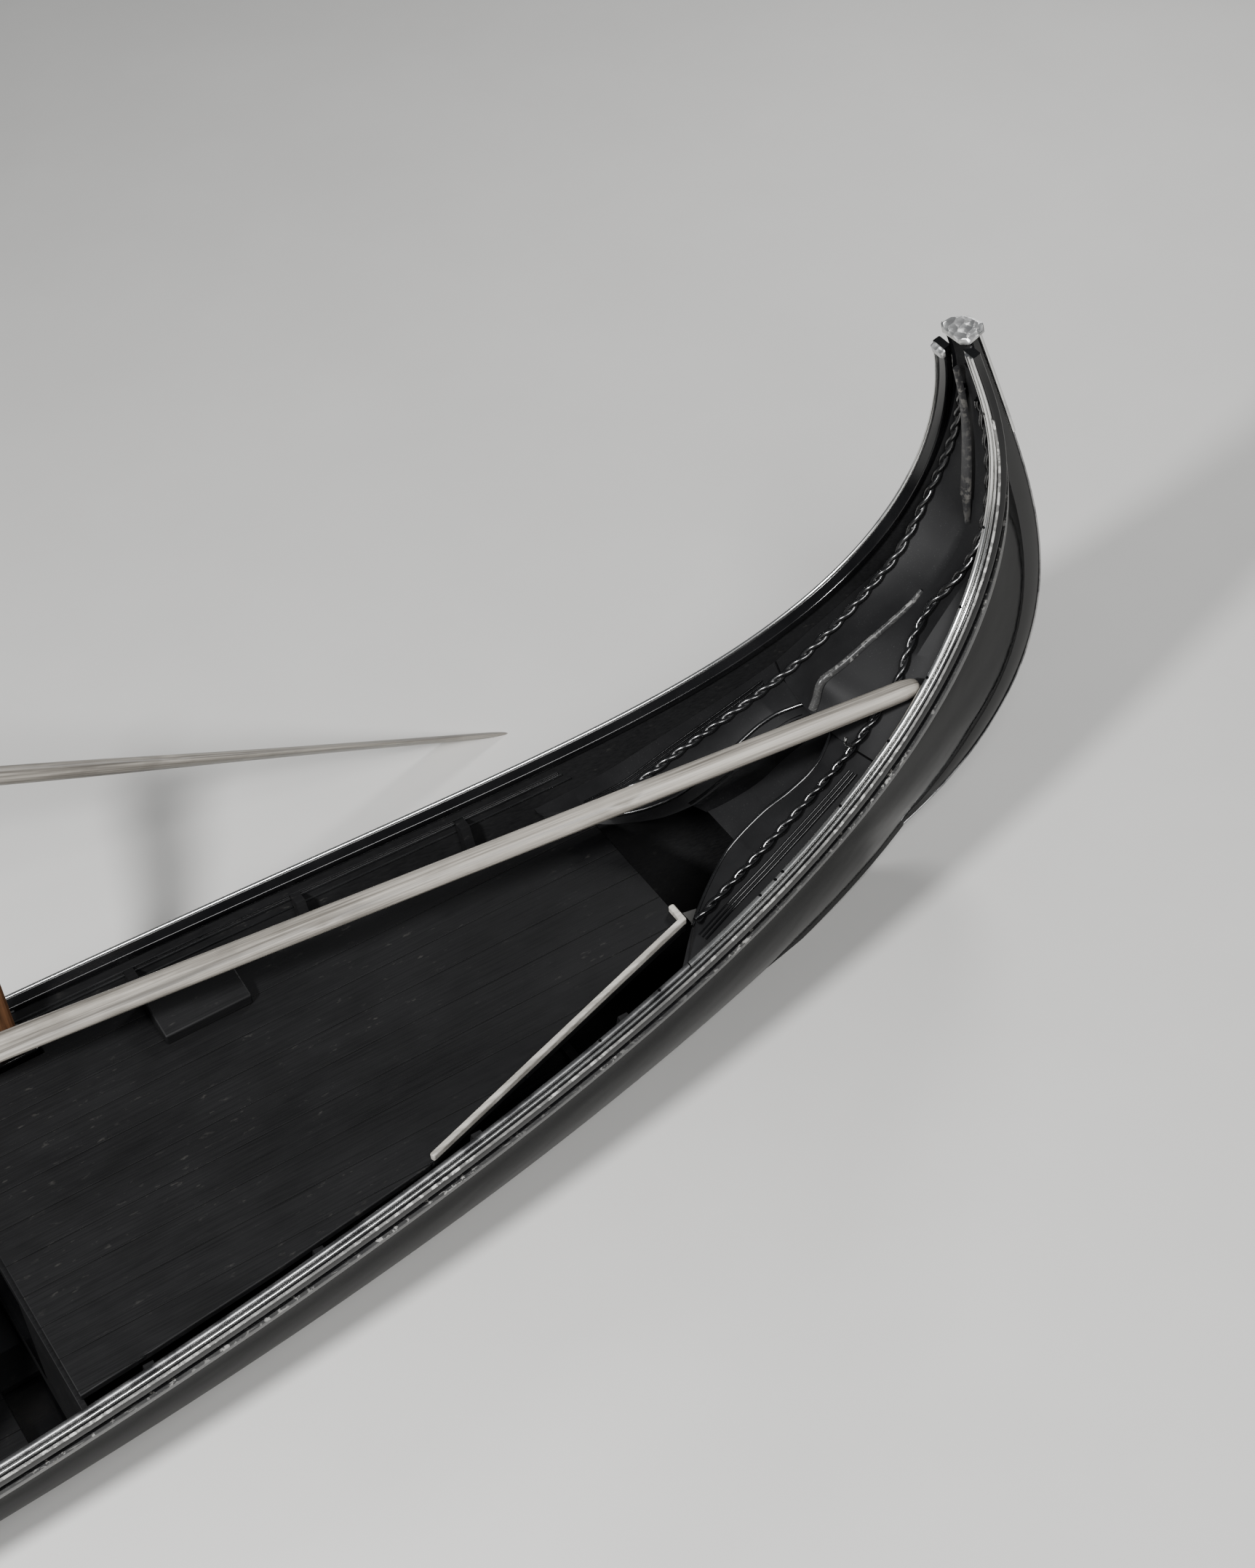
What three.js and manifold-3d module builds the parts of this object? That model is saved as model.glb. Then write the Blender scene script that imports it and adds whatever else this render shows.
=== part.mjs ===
// A Venetian gondola, about 10.85 m long, with its working oar in the rowlock and a spare oar aboard.
// Millimetres. +X to the bow, +Y to port, +Z up. The origin is on the flat of the bottom, amidships.
// The hull is asymmetric: its middle bulges to port, while stern post and stem stand on y = 0.
import * as THREE from 'three';
import Module from 'manifold-3d';

const wasm = await Module();
wasm.setup();

// Hull: overall heights and breadths
const RAIL_MID = 590;
const FLAT_HALF = 1100;
const OFFSET_TO_PORT = 126;
const BOTTOM_THICK = 22;
const BOTTOM_HALF = 430;
const POST_HALF = 30;
const POST_DEPTH = { tip: 28, full: 60, over: 500 };
const SIDE_THICK = 22;
const SIDE_BULGE = 22;
const TOUCH = 0.4;

// Gunwale and the strips that run along it, as offsets from the rail's centre line
const RAIL = { inboard: 22, outboard: 26, below: 12, above: 12 };
const TRIM = { inboard: 22, outboard: 2, rise: 9 };
const WALE = { drop: 24, height: 32, stands: 24, gap: 3.5, skip: 3 };

// The two ends. Each profile is a curve that starts at the tip and, after a straight lead,
// swings from tipAngle below the horizontal to farAngle, fading over `fade`, and levels out at `reach`.
const STERN = {
  sign: -1,
  half: 5430,
  footStation: 11,
  breadth: { tip: 64, flare: 16, full: 655, power: 2.525, opening: 385 },
  rail: { start: 517, lead: 0, tipAngle: 108.1, fade: 919, power: 1.528, farAngle: 6.73, reach: 5450 },
  keel: { start: 455, lead: 120, tipAngle: 108.1, fade: 1456, power: 3.253, farAngle: 11.96, reach: 5450 },
};
const BOW = {
  sign: 1,
  half: 5600,
  footStation: 10,
  breadth: { tip: 50, flare: 0, full: 660, power: 2.45, opening: 420 },
  rail: { start: 300, lead: 0, tipAngle: 46, fade: 700, power: 1.5, farAngle: 5.6, reach: 5600 },
  keel: { start: 165, lead: 0, tipAngle: 80, fade: 900, power: 2.6, farAngle: 9.2, reach: 5450 },
};

// Decks. Drops are measured below the rail's centre line, and rows go by the run along the rail from
// its tip. A deck falls from its edge at the side, rises to the rope moulding and then to the ridge.
const DECK_THICK = 16;
const DECK_START = 0.035;
const DECK_GAP = 3;
const DECKS = {
  stern: { frontRun: 1300, portLean: [
    // run, how far the port rope leans from its place to the ridge, as a share
    [0, 0], [500, 0], [700, 0.12], [800, 0.3], [860, 0.4], [930, 0.3], [1000, 0.14], [1080, 0], [3000, 0],
  ], rows: [
    // run, edge drop, rope inset, rope drop, ridge drop
    [0, 18, 9, 18, 10], [100, 42, 13, 26, 8], [367, 60, 16, 30, 12], [545, 70, 18, 31, 44],
    [640, 74, 26, 30, 76], [740, 78, 45, 29, 80], [827, 74, 68, 22, 58], [861, 72, 75, 17, 42],
    [907, 68, 83, 11, 30], [964, 62, 90, 9, 0], [1033, 60, 95, 13, -34], [1114, 62, 98, 21, -62],
    [1171, 66, 101, 27, -82], [1251, 78, 106, 36, -24], [1300, 86, 108, 41, 4],
    [1504, 96, 120, 53, 0], [1676, 108, 126, 75, 0], [1906, 140, 132, 121, 0], [2300, 160, 100, 150, 0],
  ] },
  bow: { frontRun: 2250, portLean: [[0, 0], [3000, 0]], rows: [
    [0, 18, 12, 18, 18], [300, 62, 40, 44, 26], [800, 96, 90, 48, -20], [1600, 100, 112, 38, -52],
    [2400, 104, 122, 40, -44],
  ] },
};
const WELL_DECK = { fromRun: 1306, frontRun: 1780, drop: 205 };
const SIDE_DECK = { fromRun: 1318, coamingFrom: 1372, coamingTo: 1780, frontRun: 2120, step: 14, lips: [
  // run, inset of the inner edge
  [1300, 222], [1343, 203], [1401, 186], [1446, 186], [1527, 200], [1619, 222], [1780, 228],
  [1980, 150], [2120, 14],
] };
const COAMING = { thick: 14, lean: 22, gap: 3 };
const ROPE = { radius: 13, lift: 7, from: 0.04, sternTo: 1980, leanLift: 12 };
const SPINE = { lift: 5, thick: 16, rows: [
  // run, half width
  [170, 4], [220, 5], [367, 11], [545, 17], [552, 12], [590, 9], [615, 3],
] };
const DECK_FRONT = { thick: 16, arch: { half: 110, rise: 60 } };

// Places along the boat, X
const FRAMES = {
  first: -3500, last: 3000, spacing: 500, thick: 28, moulded: 38, floor: 44, belowRail: 22, gap: 7,
};
const STRINGER = { drop: 144, high: 44, thick: 18, gap: 10, notch: 6 };
const KEELSON = { half: 55, high: 20, beyond: 20 };
const AFT_BULKHEAD_X = -1820;
const FORE_BULKHEAD_X = 3320;
const BULKHEAD_THICK = 18;
const FLOOR = { from: -1700, to: 2900, thick: 16 };
const PLATFORM = { z: 560, thick: 20, from: -3850, to: -1822 };
const BLOCK = { x0: -2184, x1: -2044, z0: 496, z1: 596, inner: -384, clear: 3 };

const STATIONS = 24;
const SIDE_STEPS = 4;
const CURVE_STEP = 10;

const UP = new THREE.Vector3(0, 0, 1);
const radians = THREE.MathUtils.degToRad;
const lerp = THREE.MathUtils.lerp;
const clamp = THREE.MathUtils.clamp;

// Materials, as colour, roughness and metalness
const MATERIALS = {
  lacquer: [0x0b0b0c, 0.16, 0],
  lacquerWorn: [0x17171a, 0.32, 0],
  steel: [0xc9cac8, 0.24, 1],
  brass: [0xb58a3c, 0.28, 1],
  oak: [0xa98a62, 0.55, 0],
  walnut: [0x5b3c25, 0.45, 0],
  interior: [0x1d1b19, 0.6, 0],
  upholstery: [0x1a1a1d, 0.85, 0],
};
const materials = Object.fromEntries(
  Object.entries(MATERIALS).map(([name, [color, roughness, metalness]]) =>
    [name, new THREE.MeshStandardMaterial({ name, color, roughness, metalness })]));

const boat = new THREE.Group();

// Adds one named piece
function piece(name, geometry, material) {
  const mesh = new THREE.Mesh(geometry, materials[material]);
  mesh.name = name;
  boat.add(mesh);
  return mesh;
}

// Solids

function signedArea(outline) {
  return THREE.ShapeUtils.area(outline);
}

// A closed solid through rings of equal point counts; `outline` is the ring's flat shape for the caps
function loft(rings, outline) {
  const count = outline.length;
  const index = [];
  for (let ring = 0; ring < rings.length - 1; ring++) {
    for (let k = 0; k < count; k++) {
      const a = ring * count + k;
      const b = ring * count + (k + 1) % count;
      index.push(a, b, b + count, a, b + count, a + count);
    }
  }
  const turn = Math.sign(signedArea(outline));
  const last = (rings.length - 1) * count;
  for (const face of THREE.ShapeUtils.triangulateShape(outline, [])) {
    const same = Math.sign(signedArea(face.map((k) => outline[k]))) === turn;
    const [i, j, k] = same ? face : [face[0], face[2], face[1]];
    index.push(i, k, j, last + i, last + j, last + k);
  }
  const geometry = new THREE.BufferGeometry();
  const positions = rings.flat().flatMap((point) => [point.x, point.y, point.z]);
  geometry.setAttribute('position', new THREE.Float32BufferAttribute(positions, 3));
  geometry.setIndex(volume(positions, index) < 0 ? index.reverse() : index);
  return geometry;
}

function volume(positions, index) {
  const corner = (k) => new THREE.Vector3().fromArray(positions, 3 * index[k]);
  let sum = 0;
  for (let k = 0; k < index.length; k += 3) {
    sum += corner(k).dot(corner(k + 1).cross(corner(k + 2)));
  }
  return sum / 6;
}

// Merges equal corners, so that a geometry becomes one closed solid
function solidOf(geometry) {
  const source = geometry.index ? geometry.toNonIndexed() : geometry;
  const position = source.attributes.position;
  const seen = new Map();
  const vertices = [];
  const triangles = [];
  for (let k = 0; k < position.count; k++) {
    const point = [position.getX(k), position.getY(k), position.getZ(k)];
    const key = point.map((value) => Math.round(value * 1000)).join();
    if (!seen.has(key)) {
      seen.set(key, vertices.length / 3);
      vertices.push(...point);
    }
    triangles.push(seen.get(key));
  }
  const kept = [];
  for (let k = 0; k < triangles.length; k += 3) {
    const [a, b, c] = triangles.slice(k, k + 3);
    if (a !== b && b !== c && c !== a) kept.push(a, b, c);
  }
  return new wasm.Manifold(new wasm.Mesh({
    numProp: 3,
    vertProperties: new Float32Array(vertices),
    triVerts: new Uint32Array(kept),
  }));
}

function geometryOf(solid) {
  const { vertProperties, triVerts } = solid.getMesh();
  const geometry = new THREE.BufferGeometry();
  geometry.setAttribute('position', new THREE.BufferAttribute(new Float32Array(vertProperties), 3));
  geometry.setIndex([...triVerts]);
  return geometry;
}

function joined(...geometries) {
  return geometryOf(geometries.map(solidOf).reduce((all, next) => all.add(next)));
}

function cut(geometry, ...tools) {
  return geometryOf(tools.map(solidOf).reduce((rest, tool) => rest.subtract(tool), solidOf(geometry)));
}

// A box between two corners
function box([x0, y0, z0], [x1, y1, z1]) {
  const geometry = new THREE.BoxGeometry(x1 - x0, y1 - y0, z1 - z0);
  return geometry.translate((x0 + x1) / 2, (y0 + y1) / 2, (z0 + z1) / 2);
}

function shapeOf(points) {
  return new THREE.Shape(points.map(([u, v]) => new THREE.Vector2(u, v)));
}

// A plate in the plane of X and Y, `thick` upwards from `z`
function flatPlate(points, z, thick) {
  return new THREE.ExtrudeGeometry(shapeOf(points), { depth: thick, bevelEnabled: false })
    .translate(0, 0, z);
}

// A plate across the boat: its outline is in Y and Z, and it runs `thick` forward from `x`
function crossPlate(points, x, thick) {
  const geometry = new THREE.ExtrudeGeometry(shapeOf(points), { depth: thick, bevelEnabled: false });
  return geometry.rotateX(Math.PI / 2).rotateZ(Math.PI / 2).translate(x, 0, 0);
}

// A plate along the boat: its outline is in X and Z, centred on `y`
function longPlate(points, y, thick) {
  const geometry = new THREE.ExtrudeGeometry(shapeOf(points), { depth: thick, bevelEnabled: false });
  return geometry.rotateX(Math.PI / 2).translate(0, y + thick / 2, 0);
}

// Profiles of the two ends

function traceProfile(profile, end, endHeight) {
  const points = [{ s: profile.start, z: 0, run: 0 }];
  for (let last = points[0]; last.s < end; last = points.at(-1)) {
    const run = Math.max(last.run + CURVE_STEP / 2 - profile.lead, 0);
    const levelling = profile.farAngle * Math.max(1 - run / profile.reach, 0);
    const swing = (profile.tipAngle - profile.farAngle) * Math.exp(-((run / profile.fade) ** profile.power));
    const angle = radians(levelling + swing);
    points.push({
      s: last.s + CURVE_STEP * Math.cos(angle),
      z: last.z - CURVE_STEP * Math.sin(angle),
      run: last.run + CURVE_STEP,
    });
  }
  const lift = endHeight - points.at(-1).z;
  return points.map((point) => ({ ...point, z: point.z + lift }));
}

// The place and the inward normal at a share of a traced profile's run
function along(points, share) {
  const place = clamp(share, 0, 1) * (points.length - 1);
  const k = Math.min(Math.floor(place), points.length - 2);
  const [from, to] = [points[k], points[k + 1]];
  const part = place - k;
  const length = Math.hypot(to.s - from.s, to.z - from.z);
  return {
    s: lerp(from.s, to.s, part),
    z: lerp(from.z, to.z, part),
    run: lerp(from.run, to.run, part),
    inward: { s: -(to.z - from.z) / length, z: (to.s - from.s) / length },
  };
}

const stationShare = (k) => (k / STATIONS) ** 1.6;

for (const end of [STERN, BOW]) {
  end.railPoints = traceProfile(end.rail, end.half, RAIL_MID);
  end.keelPoints = traceProfile(end.keel, end.half - FLAT_HALF, 0);
  for (let last = end.keelPoints.at(-1); last.s < end.half; last = end.keelPoints.at(-1)) {
    end.keelPoints.push({ s: last.s + CURVE_STEP, z: 0, run: last.run + CURVE_STEP });
  }
  end.foot = along(end.keelPoints, stationShare(end.footStation)).s;
}

const worldX = (end, s) => end.sign * (end.half - s);

function centreOffset(end, s) {
  const away = clamp(1 - s / end.half, 0, 1.2);
  return OFFSET_TO_PORT * Math.max(1 - away ** 2, 0);
}

// The tip's flare fades out over the first part of the rail
const FLARE_RUN = 600;

function railHalf(end, s, run) {
  const { tip, flare, full, power, opening } = end.breadth;
  const away = clamp(1 - s / end.half, 0, 1.2);
  const spread = Math.max(1 - away ** power, 0) * run ** 2 / (run ** 2 + opening ** 2);
  return tip + flare * Math.max(1 - run / FLARE_RUN, 0) ** 2 + full * spread;
}

function bottomHalf(end, s) {
  const away = clamp((end.half - s) / (end.half - end.foot), 0, 1);
  return POST_HALF + (BOTTOM_HALF - POST_HALF) * (1 - away ** 3);
}

// How deep the post, or further in the bottom planking, stands inside the keel profile
function backboneDepth(end, s, run) {
  const post = lerp(POST_DEPTH.tip, POST_DEPTH.full, clamp(run / POST_DEPTH.over, 0, 1));
  return lerp(BOTTOM_THICK, post, clamp((end.foot - s) / 300, 0, 1));
}

// Rail centre line on one side, side = +1 to port
function railAt(end, share, side) {
  const { s, z, run } = along(end.railPoints, share);
  const y = centreOffset(end, s) + side * railHalf(end, s, run);
  return new THREE.Vector3(worldX(end, s), y, z);
}

function keelAt(end, share) {
  const { s, z, run, inward } = along(end.keelPoints, share);
  return { s, z, inward, depth: backboneDepth(end, s, run) };
}

// A point of the side: share along the end, part 0 at the lower edge and 1 under the rail,
// and `inset` towards the middle from the outer face
function sideAt(end, share, side, part, inset = 0) {
  const keel = keelAt(end, share);
  const reach = keel.depth + TOUCH;
  const low = {
    s: keel.s + keel.inward.s * reach,
    z: keel.z + keel.inward.z * reach,
  };
  const rail = railAt(end, share, side);
  const top = { s: end.half - end.sign * rail.x, z: rail.z };
  const { inward } = along(end.railPoints, share);
  const height = (top.s - low.s) * inward.s + (top.z - low.z) * inward.z;
  const topPart = 1 - (RAIL.below + 2 * TOUCH) / height;
  const p = part * topPart;
  const lowY = centreOffset(end, low.s) + side * bottomHalf(end, low.s);
  const topY = rail.y + side * SIDE_THICK / 2;
  const bulge = SIDE_BULGE * Math.sin(Math.PI / 2 * Math.min(1, share / 0.4)) ** 2;
  const y = lerp(lowY, topY, p) + side * (bulge * 4 * p * (1 - p) - inset);
  return new THREE.Vector3(worldX(end, lerp(low.s, top.s, p)), y, lerp(low.z, top.z, p));
}

// The part of the side that lies `depth` below its top edge
function partBelow(end, share, depth) {
  const height = sideAt(end, share, 1, 0).distanceTo(sideAt(end, share, 1, 1));
  return 1 - depth / height;
}

// The share at which a traced profile passes s, on its run towards midship
function shareAt(points, s) {
  let [low, high] = [0.1, 1];
  for (let k = 0; k < 40; k++) {
    const middle = (low + high) / 2;
    if (along(points, middle).s < s) low = middle;
    else high = middle;
  }
  return low;
}

const shareOfRun = (end, run) => run / end.railPoints.at(-1).run;

// Stations over the whole boat, from the stern's tip to the bow's, close together at the tips
const stationsOf = (end, count) =>
  Array.from({ length: count }, (_, k) => ({ end, share: stationShare(k) }));
const BOW_STATIONS = stationsOf(BOW, STATIONS).reverse();
const ALL_STATIONS = [...stationsOf(STERN, STATIONS + 1), ...BOW_STATIONS];

// Sweeps an outline of [across, up] pairs along a path; across points to starboard on a forward path
function sweep(path, ups, outline) {
  const rings = path.map((point, k) => {
    const ahead = path[Math.min(k + 1, path.length - 1)];
    const behind = path[Math.max(k - 1, 0)];
    const tangent = ahead.clone().sub(behind).normalize();
    const up = ups[k].clone().addScaledVector(tangent, -ups[k].dot(tangent)).normalize();
    const across = new THREE.Vector3().crossVectors(tangent, up);
    return outline.map(([outward, upward]) =>
      point.clone().addScaledVector(across, outward).addScaledVector(up, upward));
  });
  return loft(rings, outline.map(([outward, upward]) => new THREE.Vector2(outward, upward)));
}

const circle = (radius, sides) => Array.from({ length: sides }, (_, k) =>
  [radius * Math.cos(2 * Math.PI * k / sides), radius * Math.sin(2 * Math.PI * k / sides)]);

// The direction square to the rail in the boat's side view, which is up amidships
function railUp(end, share) {
  const { inward } = along(end.railPoints, share);
  return new THREE.Vector3(-end.sign * inward.s, 0, inward.z);
}

// A strip along the rail: offsets are [outboard, up] pairs from the rail's centre line
function railStrip(places, side, offsets) {
  const rings = places.map(({ end, share }) => offsets.map(([outboard, up]) => {
    const point = railAt(end, share, side).addScaledVector(railUp(end, share), up);
    point.y += side * outboard;
    return point;
  }));
  return loft(rings, offsets.map(([outboard, up]) => new THREE.Vector2(outboard, up)));
}

// Hull shell

const quad = [[-1, 0], [1, 0], [1, 1], [-1, 1]];
const quadOutline = quad.map(([u, v]) => new THREE.Vector2(u, v));

// A slab that lies inside the keel profile: the post, the stem and the bottom planking
function backbone(places, halfAt, backOff) {
  const rings = places.map(({ end, share }) => {
    const { s, z, inward, depth } = keelAt(end, share);
    const off = share === stationShare(end.footStation) ? backOff : 0;
    return quad.map(([side, inner]) => new THREE.Vector3(
      worldX(end, s + inward.s * depth * inner + inward.z * off),
      centreOffset(end, s) + side * halfAt(end, s),
      z + inward.z * depth * inner - inward.s * off));
  });
  return loft(rings, quadOutline);
}

function bottomPlanking() {
  const places = ALL_STATIONS.filter(({ end, share }) => share >= stationShare(end.footStation));
  return backbone(places, bottomHalf, TOUCH);
}

function backbonePost(end) {
  const foot = stationShare(end.footStation);
  const places = ALL_STATIONS.filter((place) => place.end === end && place.share <= foot);
  return backbone(places, () => POST_HALF, 0);
}

function sidePlanking(side) {
  const parts = Array.from({ length: SIDE_STEPS + 1 }, (_, k) => k / SIDE_STEPS);
  const rings = ALL_STATIONS.map(({ end, share }) => [
    ...parts.map((part) => sideAt(end, share, side, part)),
    ...parts.toReversed().map((part) => sideAt(end, share, side, part, SIDE_THICK)),
  ]);
  const outline = [
    ...parts.map((part) => new THREE.Vector2(SIDE_THICK, part * RAIL_MID)),
    ...parts.toReversed().map((part) => new THREE.Vector2(0, part * RAIL_MID)),
  ];
  return loft(rings, outline);
}

// The rubbing wale on the outside of the side, just under the rail
function wale(side) {
  const rings = ALL_STATIONS.slice(WALE.skip, -WALE.skip).map(({ end, share }) =>
    [[WALE.drop, 0], [WALE.drop, 1], [WALE.drop + WALE.height, 1], [WALE.drop + WALE.height, 0]]
      .map(([drop, outer]) => {
        const stands = WALE.gap + outer * WALE.stands;
        return sideAt(end, share, side, partBelow(end, share, drop), -stands);
      }));
  return loft(rings, [[0, 1], [1, 1], [1, 0], [0, 0]].map(([u, v]) => new THREE.Vector2(u, v)));
}

// The polished half-round strip on the rail's inner edge
function trimStrip(places, side) {
  const middle = (TRIM.outboard - TRIM.inboard) / 2;
  const half = (TRIM.outboard + TRIM.inboard) / 2;
  const base = RAIL.above + TOUCH;
  return railStrip(places, side, [
    [middle - half, base], [middle + half, base], [middle + half * 0.7, base + TRIM.rise * 0.75],
    [middle, base + TRIM.rise], [middle - half * 0.7, base + TRIM.rise * 0.75],
  ]);
}

// The starboard rail ends a little below the stern's tip, on a shoulder
const STARBOARD_RAIL_FROM = 85;

function railPlaces(side) {
  if (side > 0) return ALL_STATIONS;
  const start = shareOfRun(STERN, STARBOARD_RAIL_FROM);
  return [{ end: STERN, share: start },
    ...ALL_STATIONS.filter(({ end, share }) => end !== STERN || share > start)];
}

piece('bottom_planking', bottomPlanking(), 'lacquer');
piece('stern_post', backbonePost(STERN), 'lacquer');
piece('bow_stem', backbonePost(BOW), 'lacquer');
for (const [name, side] of [['port', 1], ['starboard', -1]]) {
  piece(`side_planking_${name}`, sidePlanking(side), 'lacquer');
  const places = railPlaces(side);
  piece(`gunwale_${name}`, railStrip(places, side, [
    [-RAIL.inboard, -RAIL.below], [RAIL.outboard, -RAIL.below],
    [RAIL.outboard, RAIL.above], [-RAIL.inboard, RAIL.above],
  ]), 'lacquer');
  piece(`wale_${name}`, wale(side), 'lacquerWorn');
  piece(`rail_trim_${name}`, trimStrip(places, side), 'steel');
}

// Decks

// Linear interpolation in a table of rows by their first column
function tableAt(rows, key) {
  const found = rows.findIndex((row) => row[0] > key);
  const above = found < 0 ? rows.length - 1 : Math.max(found, 1);
  const [from, to] = [rows[above - 1], rows[above]];
  const part = clamp((key - from[0]) / (to[0] - from[0]), 0, 1);
  return from.map((value, column) => lerp(value, to[column], part));
}

// A point inside the side at a drop below the rail's centre line, on the flats between stations
function insideAt(end, share, side, drop, gap) {
  const place = clamp(share, 0, 1) ** (1 / 1.6) * STATIONS;
  const k = Math.min(Math.floor(place + 1e-9), STATIONS - 1);
  const [from, to] = [stationShare(k), stationShare(k + 1)];
  const at = (station) =>
    sideAt(end, station, side, partBelow(end, station, drop - RAIL.below), SIDE_THICK + gap);
  return at(from).lerp(at(to), (share - from) / (to - from));
}

// The ridge of a deck, over the middle of the boat
function ridgeAt(end, share, drop) {
  const [port, starboard] = [1, -1].map((side) => insideAt(end, share, side, drop, 0));
  return port.add(starboard).multiplyScalar(0.5);
}

function deckDrops(deck, end, share) {
  const [, edge, inset, rope, ridge] = tableAt(deck.rows, along(end.railPoints, share).run);
  return { edge, inset, rope, ridge };
}

// The planking's own stations between two shares, with the two ends themselves
function deckPlaces(end, from, to) {
  const between = ({ share }) => share > from + 0.004 && share < to - 0.004;
  const inner = ALL_STATIONS.filter((place) => place.end === end && between(place));
  const places = [{ end, share: from }, ...inner, { end, share: to }].sort((a, b) => a.share - b.share);
  return end === STERN ? places : places.reverse();
}

// The same stations with one more between each two, for the curved decks
function finePlaces(end, from, to) {
  const places = deckPlaces(end, from, to);
  return places.flatMap((place, k) => k === 0 ? [place] : [
    { end, share: (places[k - 1].share + place.share) / 2 }, place,
  ]);
}

// A deck's surface on one side, as the three corners of its section
function deckCorners(deck, end, share, side, below = 0) {
  const { edge, inset, rope, ridge } = deckDrops(deck, end, share);
  return [
    insideAt(end, share, side, edge + below, DECK_GAP),
    insideAt(end, share, side, rope + below, inset),
    ridgeAt(end, share, ridge + below),
  ];
}

const DECK_SECTION = [
  [1, 0], [0.6, 0.3], [0, 0.5], [-0.6, 0.3], [-1, 0],
  [-1, -0.3], [-0.6, 0], [0, 0.2], [0.6, 0], [1, -0.3],
].map(([u, v]) => new THREE.Vector2(u, v));

function gabledDeck(end, deck) {
  const rings = finePlaces(end, DECK_START, shareOfRun(end, deck.frontRun)).map(({ share }) => {
    const half = (below) => {
      const port = deckCorners(deck, end, share, 1, below);
      const starboard = deckCorners(deck, end, share, -1, below);
      return [...port, starboard[1], starboard[0]];
    };
    return [...half(0), ...half(DECK_THICK).reverse()];
  });
  return loft(rings, DECK_SECTION);
}

// A level panel between the sides, between two runs along the rail
function flatDeck(end, fromRun, toRun, drop) {
  const places = deckPlaces(end, shareOfRun(end, fromRun), shareOfRun(end, toRun));
  const rings = places.map(({ share }) => [[1, 0], [-1, 0], [-1, 1], [1, 1]].map(([side, low]) =>
    insideAt(end, share, side, drop + low * DECK_THICK, DECK_GAP)));
  return loft(rings, quadOutline);
}

// The narrow deck along one side of the well: it rises to the rope and falls to its inner edge
function sideDeck(side) {
  const { fromRun, frontRun, lips, step } = SIDE_DECK;
  const [from, to] = [fromRun, frontRun].map((run) => shareOfRun(STERN, run));
  const rings = finePlaces(STERN, from, to).map(({ share }) => {
    const { edge, inset, rope } = deckDrops(DECKS.stern, STERN, share);
    const [, lip] = tableAt(lips, along(STERN.railPoints, share).run);
    const bend = Math.min(inset, lip * 0.8);
    const low = lerp(edge, rope, bend / inset);
    return [[edge, DECK_GAP], [low, bend], [low + step, lip],
      [low + step + DECK_THICK, lip], [low + DECK_THICK, bend], [edge + DECK_THICK, DECK_GAP],
    ].map(([drop, gap]) => insideAt(STERN, share, side, drop, gap));
  });
  const outline = [[0, 0], [0.5, 0.4], [1, 0], [1, -1], [0.5, -0.6], [0, -1]];
  return loft(rings, outline.map(([u, v]) => new THREE.Vector2(u, v)));
}

// The board that stands between the side deck's inner edge and the well's deck
function coaming(side) {
  const { coamingFrom, coamingTo, lips, step } = SIDE_DECK;
  const { thick, lean, gap } = COAMING;
  const places = finePlaces(STERN, shareOfRun(STERN, coamingFrom), shareOfRun(STERN, coamingTo));
  const rings = places.map(({ share }) => {
    const [, lip] = tableAt(lips, along(STERN.railPoints, share).run);
    const top = deckDrops(DECKS.stern, STERN, share).rope + step + DECK_THICK / 2;
    const foot = WELL_DECK.drop - gap;
    return [[top, lip - thick], [top, lip], [foot, lip - lean], [foot, lip - lean - thick]]
      .map(([drop, from]) => insideAt(STERN, share, side, drop, from));
  });
  return loft(rings, quadOutline);
}

// The upright board under the front of the stern deck, with an arched opening
function deckFront() {
  const share = shareOfRun(STERN, DECKS.stern.frontRun - 30);
  const under = DECK_THICK + 1;
  const [port, starboard] = [1, -1].map((side) => deckCorners(DECKS.stern, STERN, share, side, under));
  const foot = [1, -1].map((side) => insideAt(STERN, share, side, WELL_DECK.drop - 24, 9));
  const outline = [port[0], port[1], port[2], starboard[1], starboard[0], foot[1], foot[0]]
    .map(({ y, z }) => [y * 0.985, z - 22]);
  const { thick, arch } = DECK_FRONT;
  const plate = crossPlate(outline, port[2].x - thick - 40, thick);
  const middle = (foot[0].y + foot[1].y) / 2;
  const opening = new THREE.CylinderGeometry(1, 1, 3 * thick, 24).rotateZ(Math.PI / 2)
    .scale(1, arch.half, arch.rise).translate(port[2].x - thick, middle, foot[0].z + 42);
  return cut(plate, opening);
}

// The board on the ridge of the horn, above the stern deck's aft end
function hornSpine() {
  const rings = SPINE.rows.map(([run, half]) => {
    const share = shareOfRun(STERN, run);
    const { ridge } = deckDrops(DECKS.stern, STERN, share);
    const up = railUp(STERN, share);
    const foot = ridgeAt(STERN, share, ridge).addScaledVector(up, SPINE.lift + half * 0.5);
    return [[half, 0], [-half, 0], [-half, 1], [half, 1]].map(([y, high]) => {
      const point = foot.clone().addScaledVector(up, high * SPINE.thick);
      point.y += y;
      return point;
    });
  });
  return loft(rings, quadOutline);
}

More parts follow.
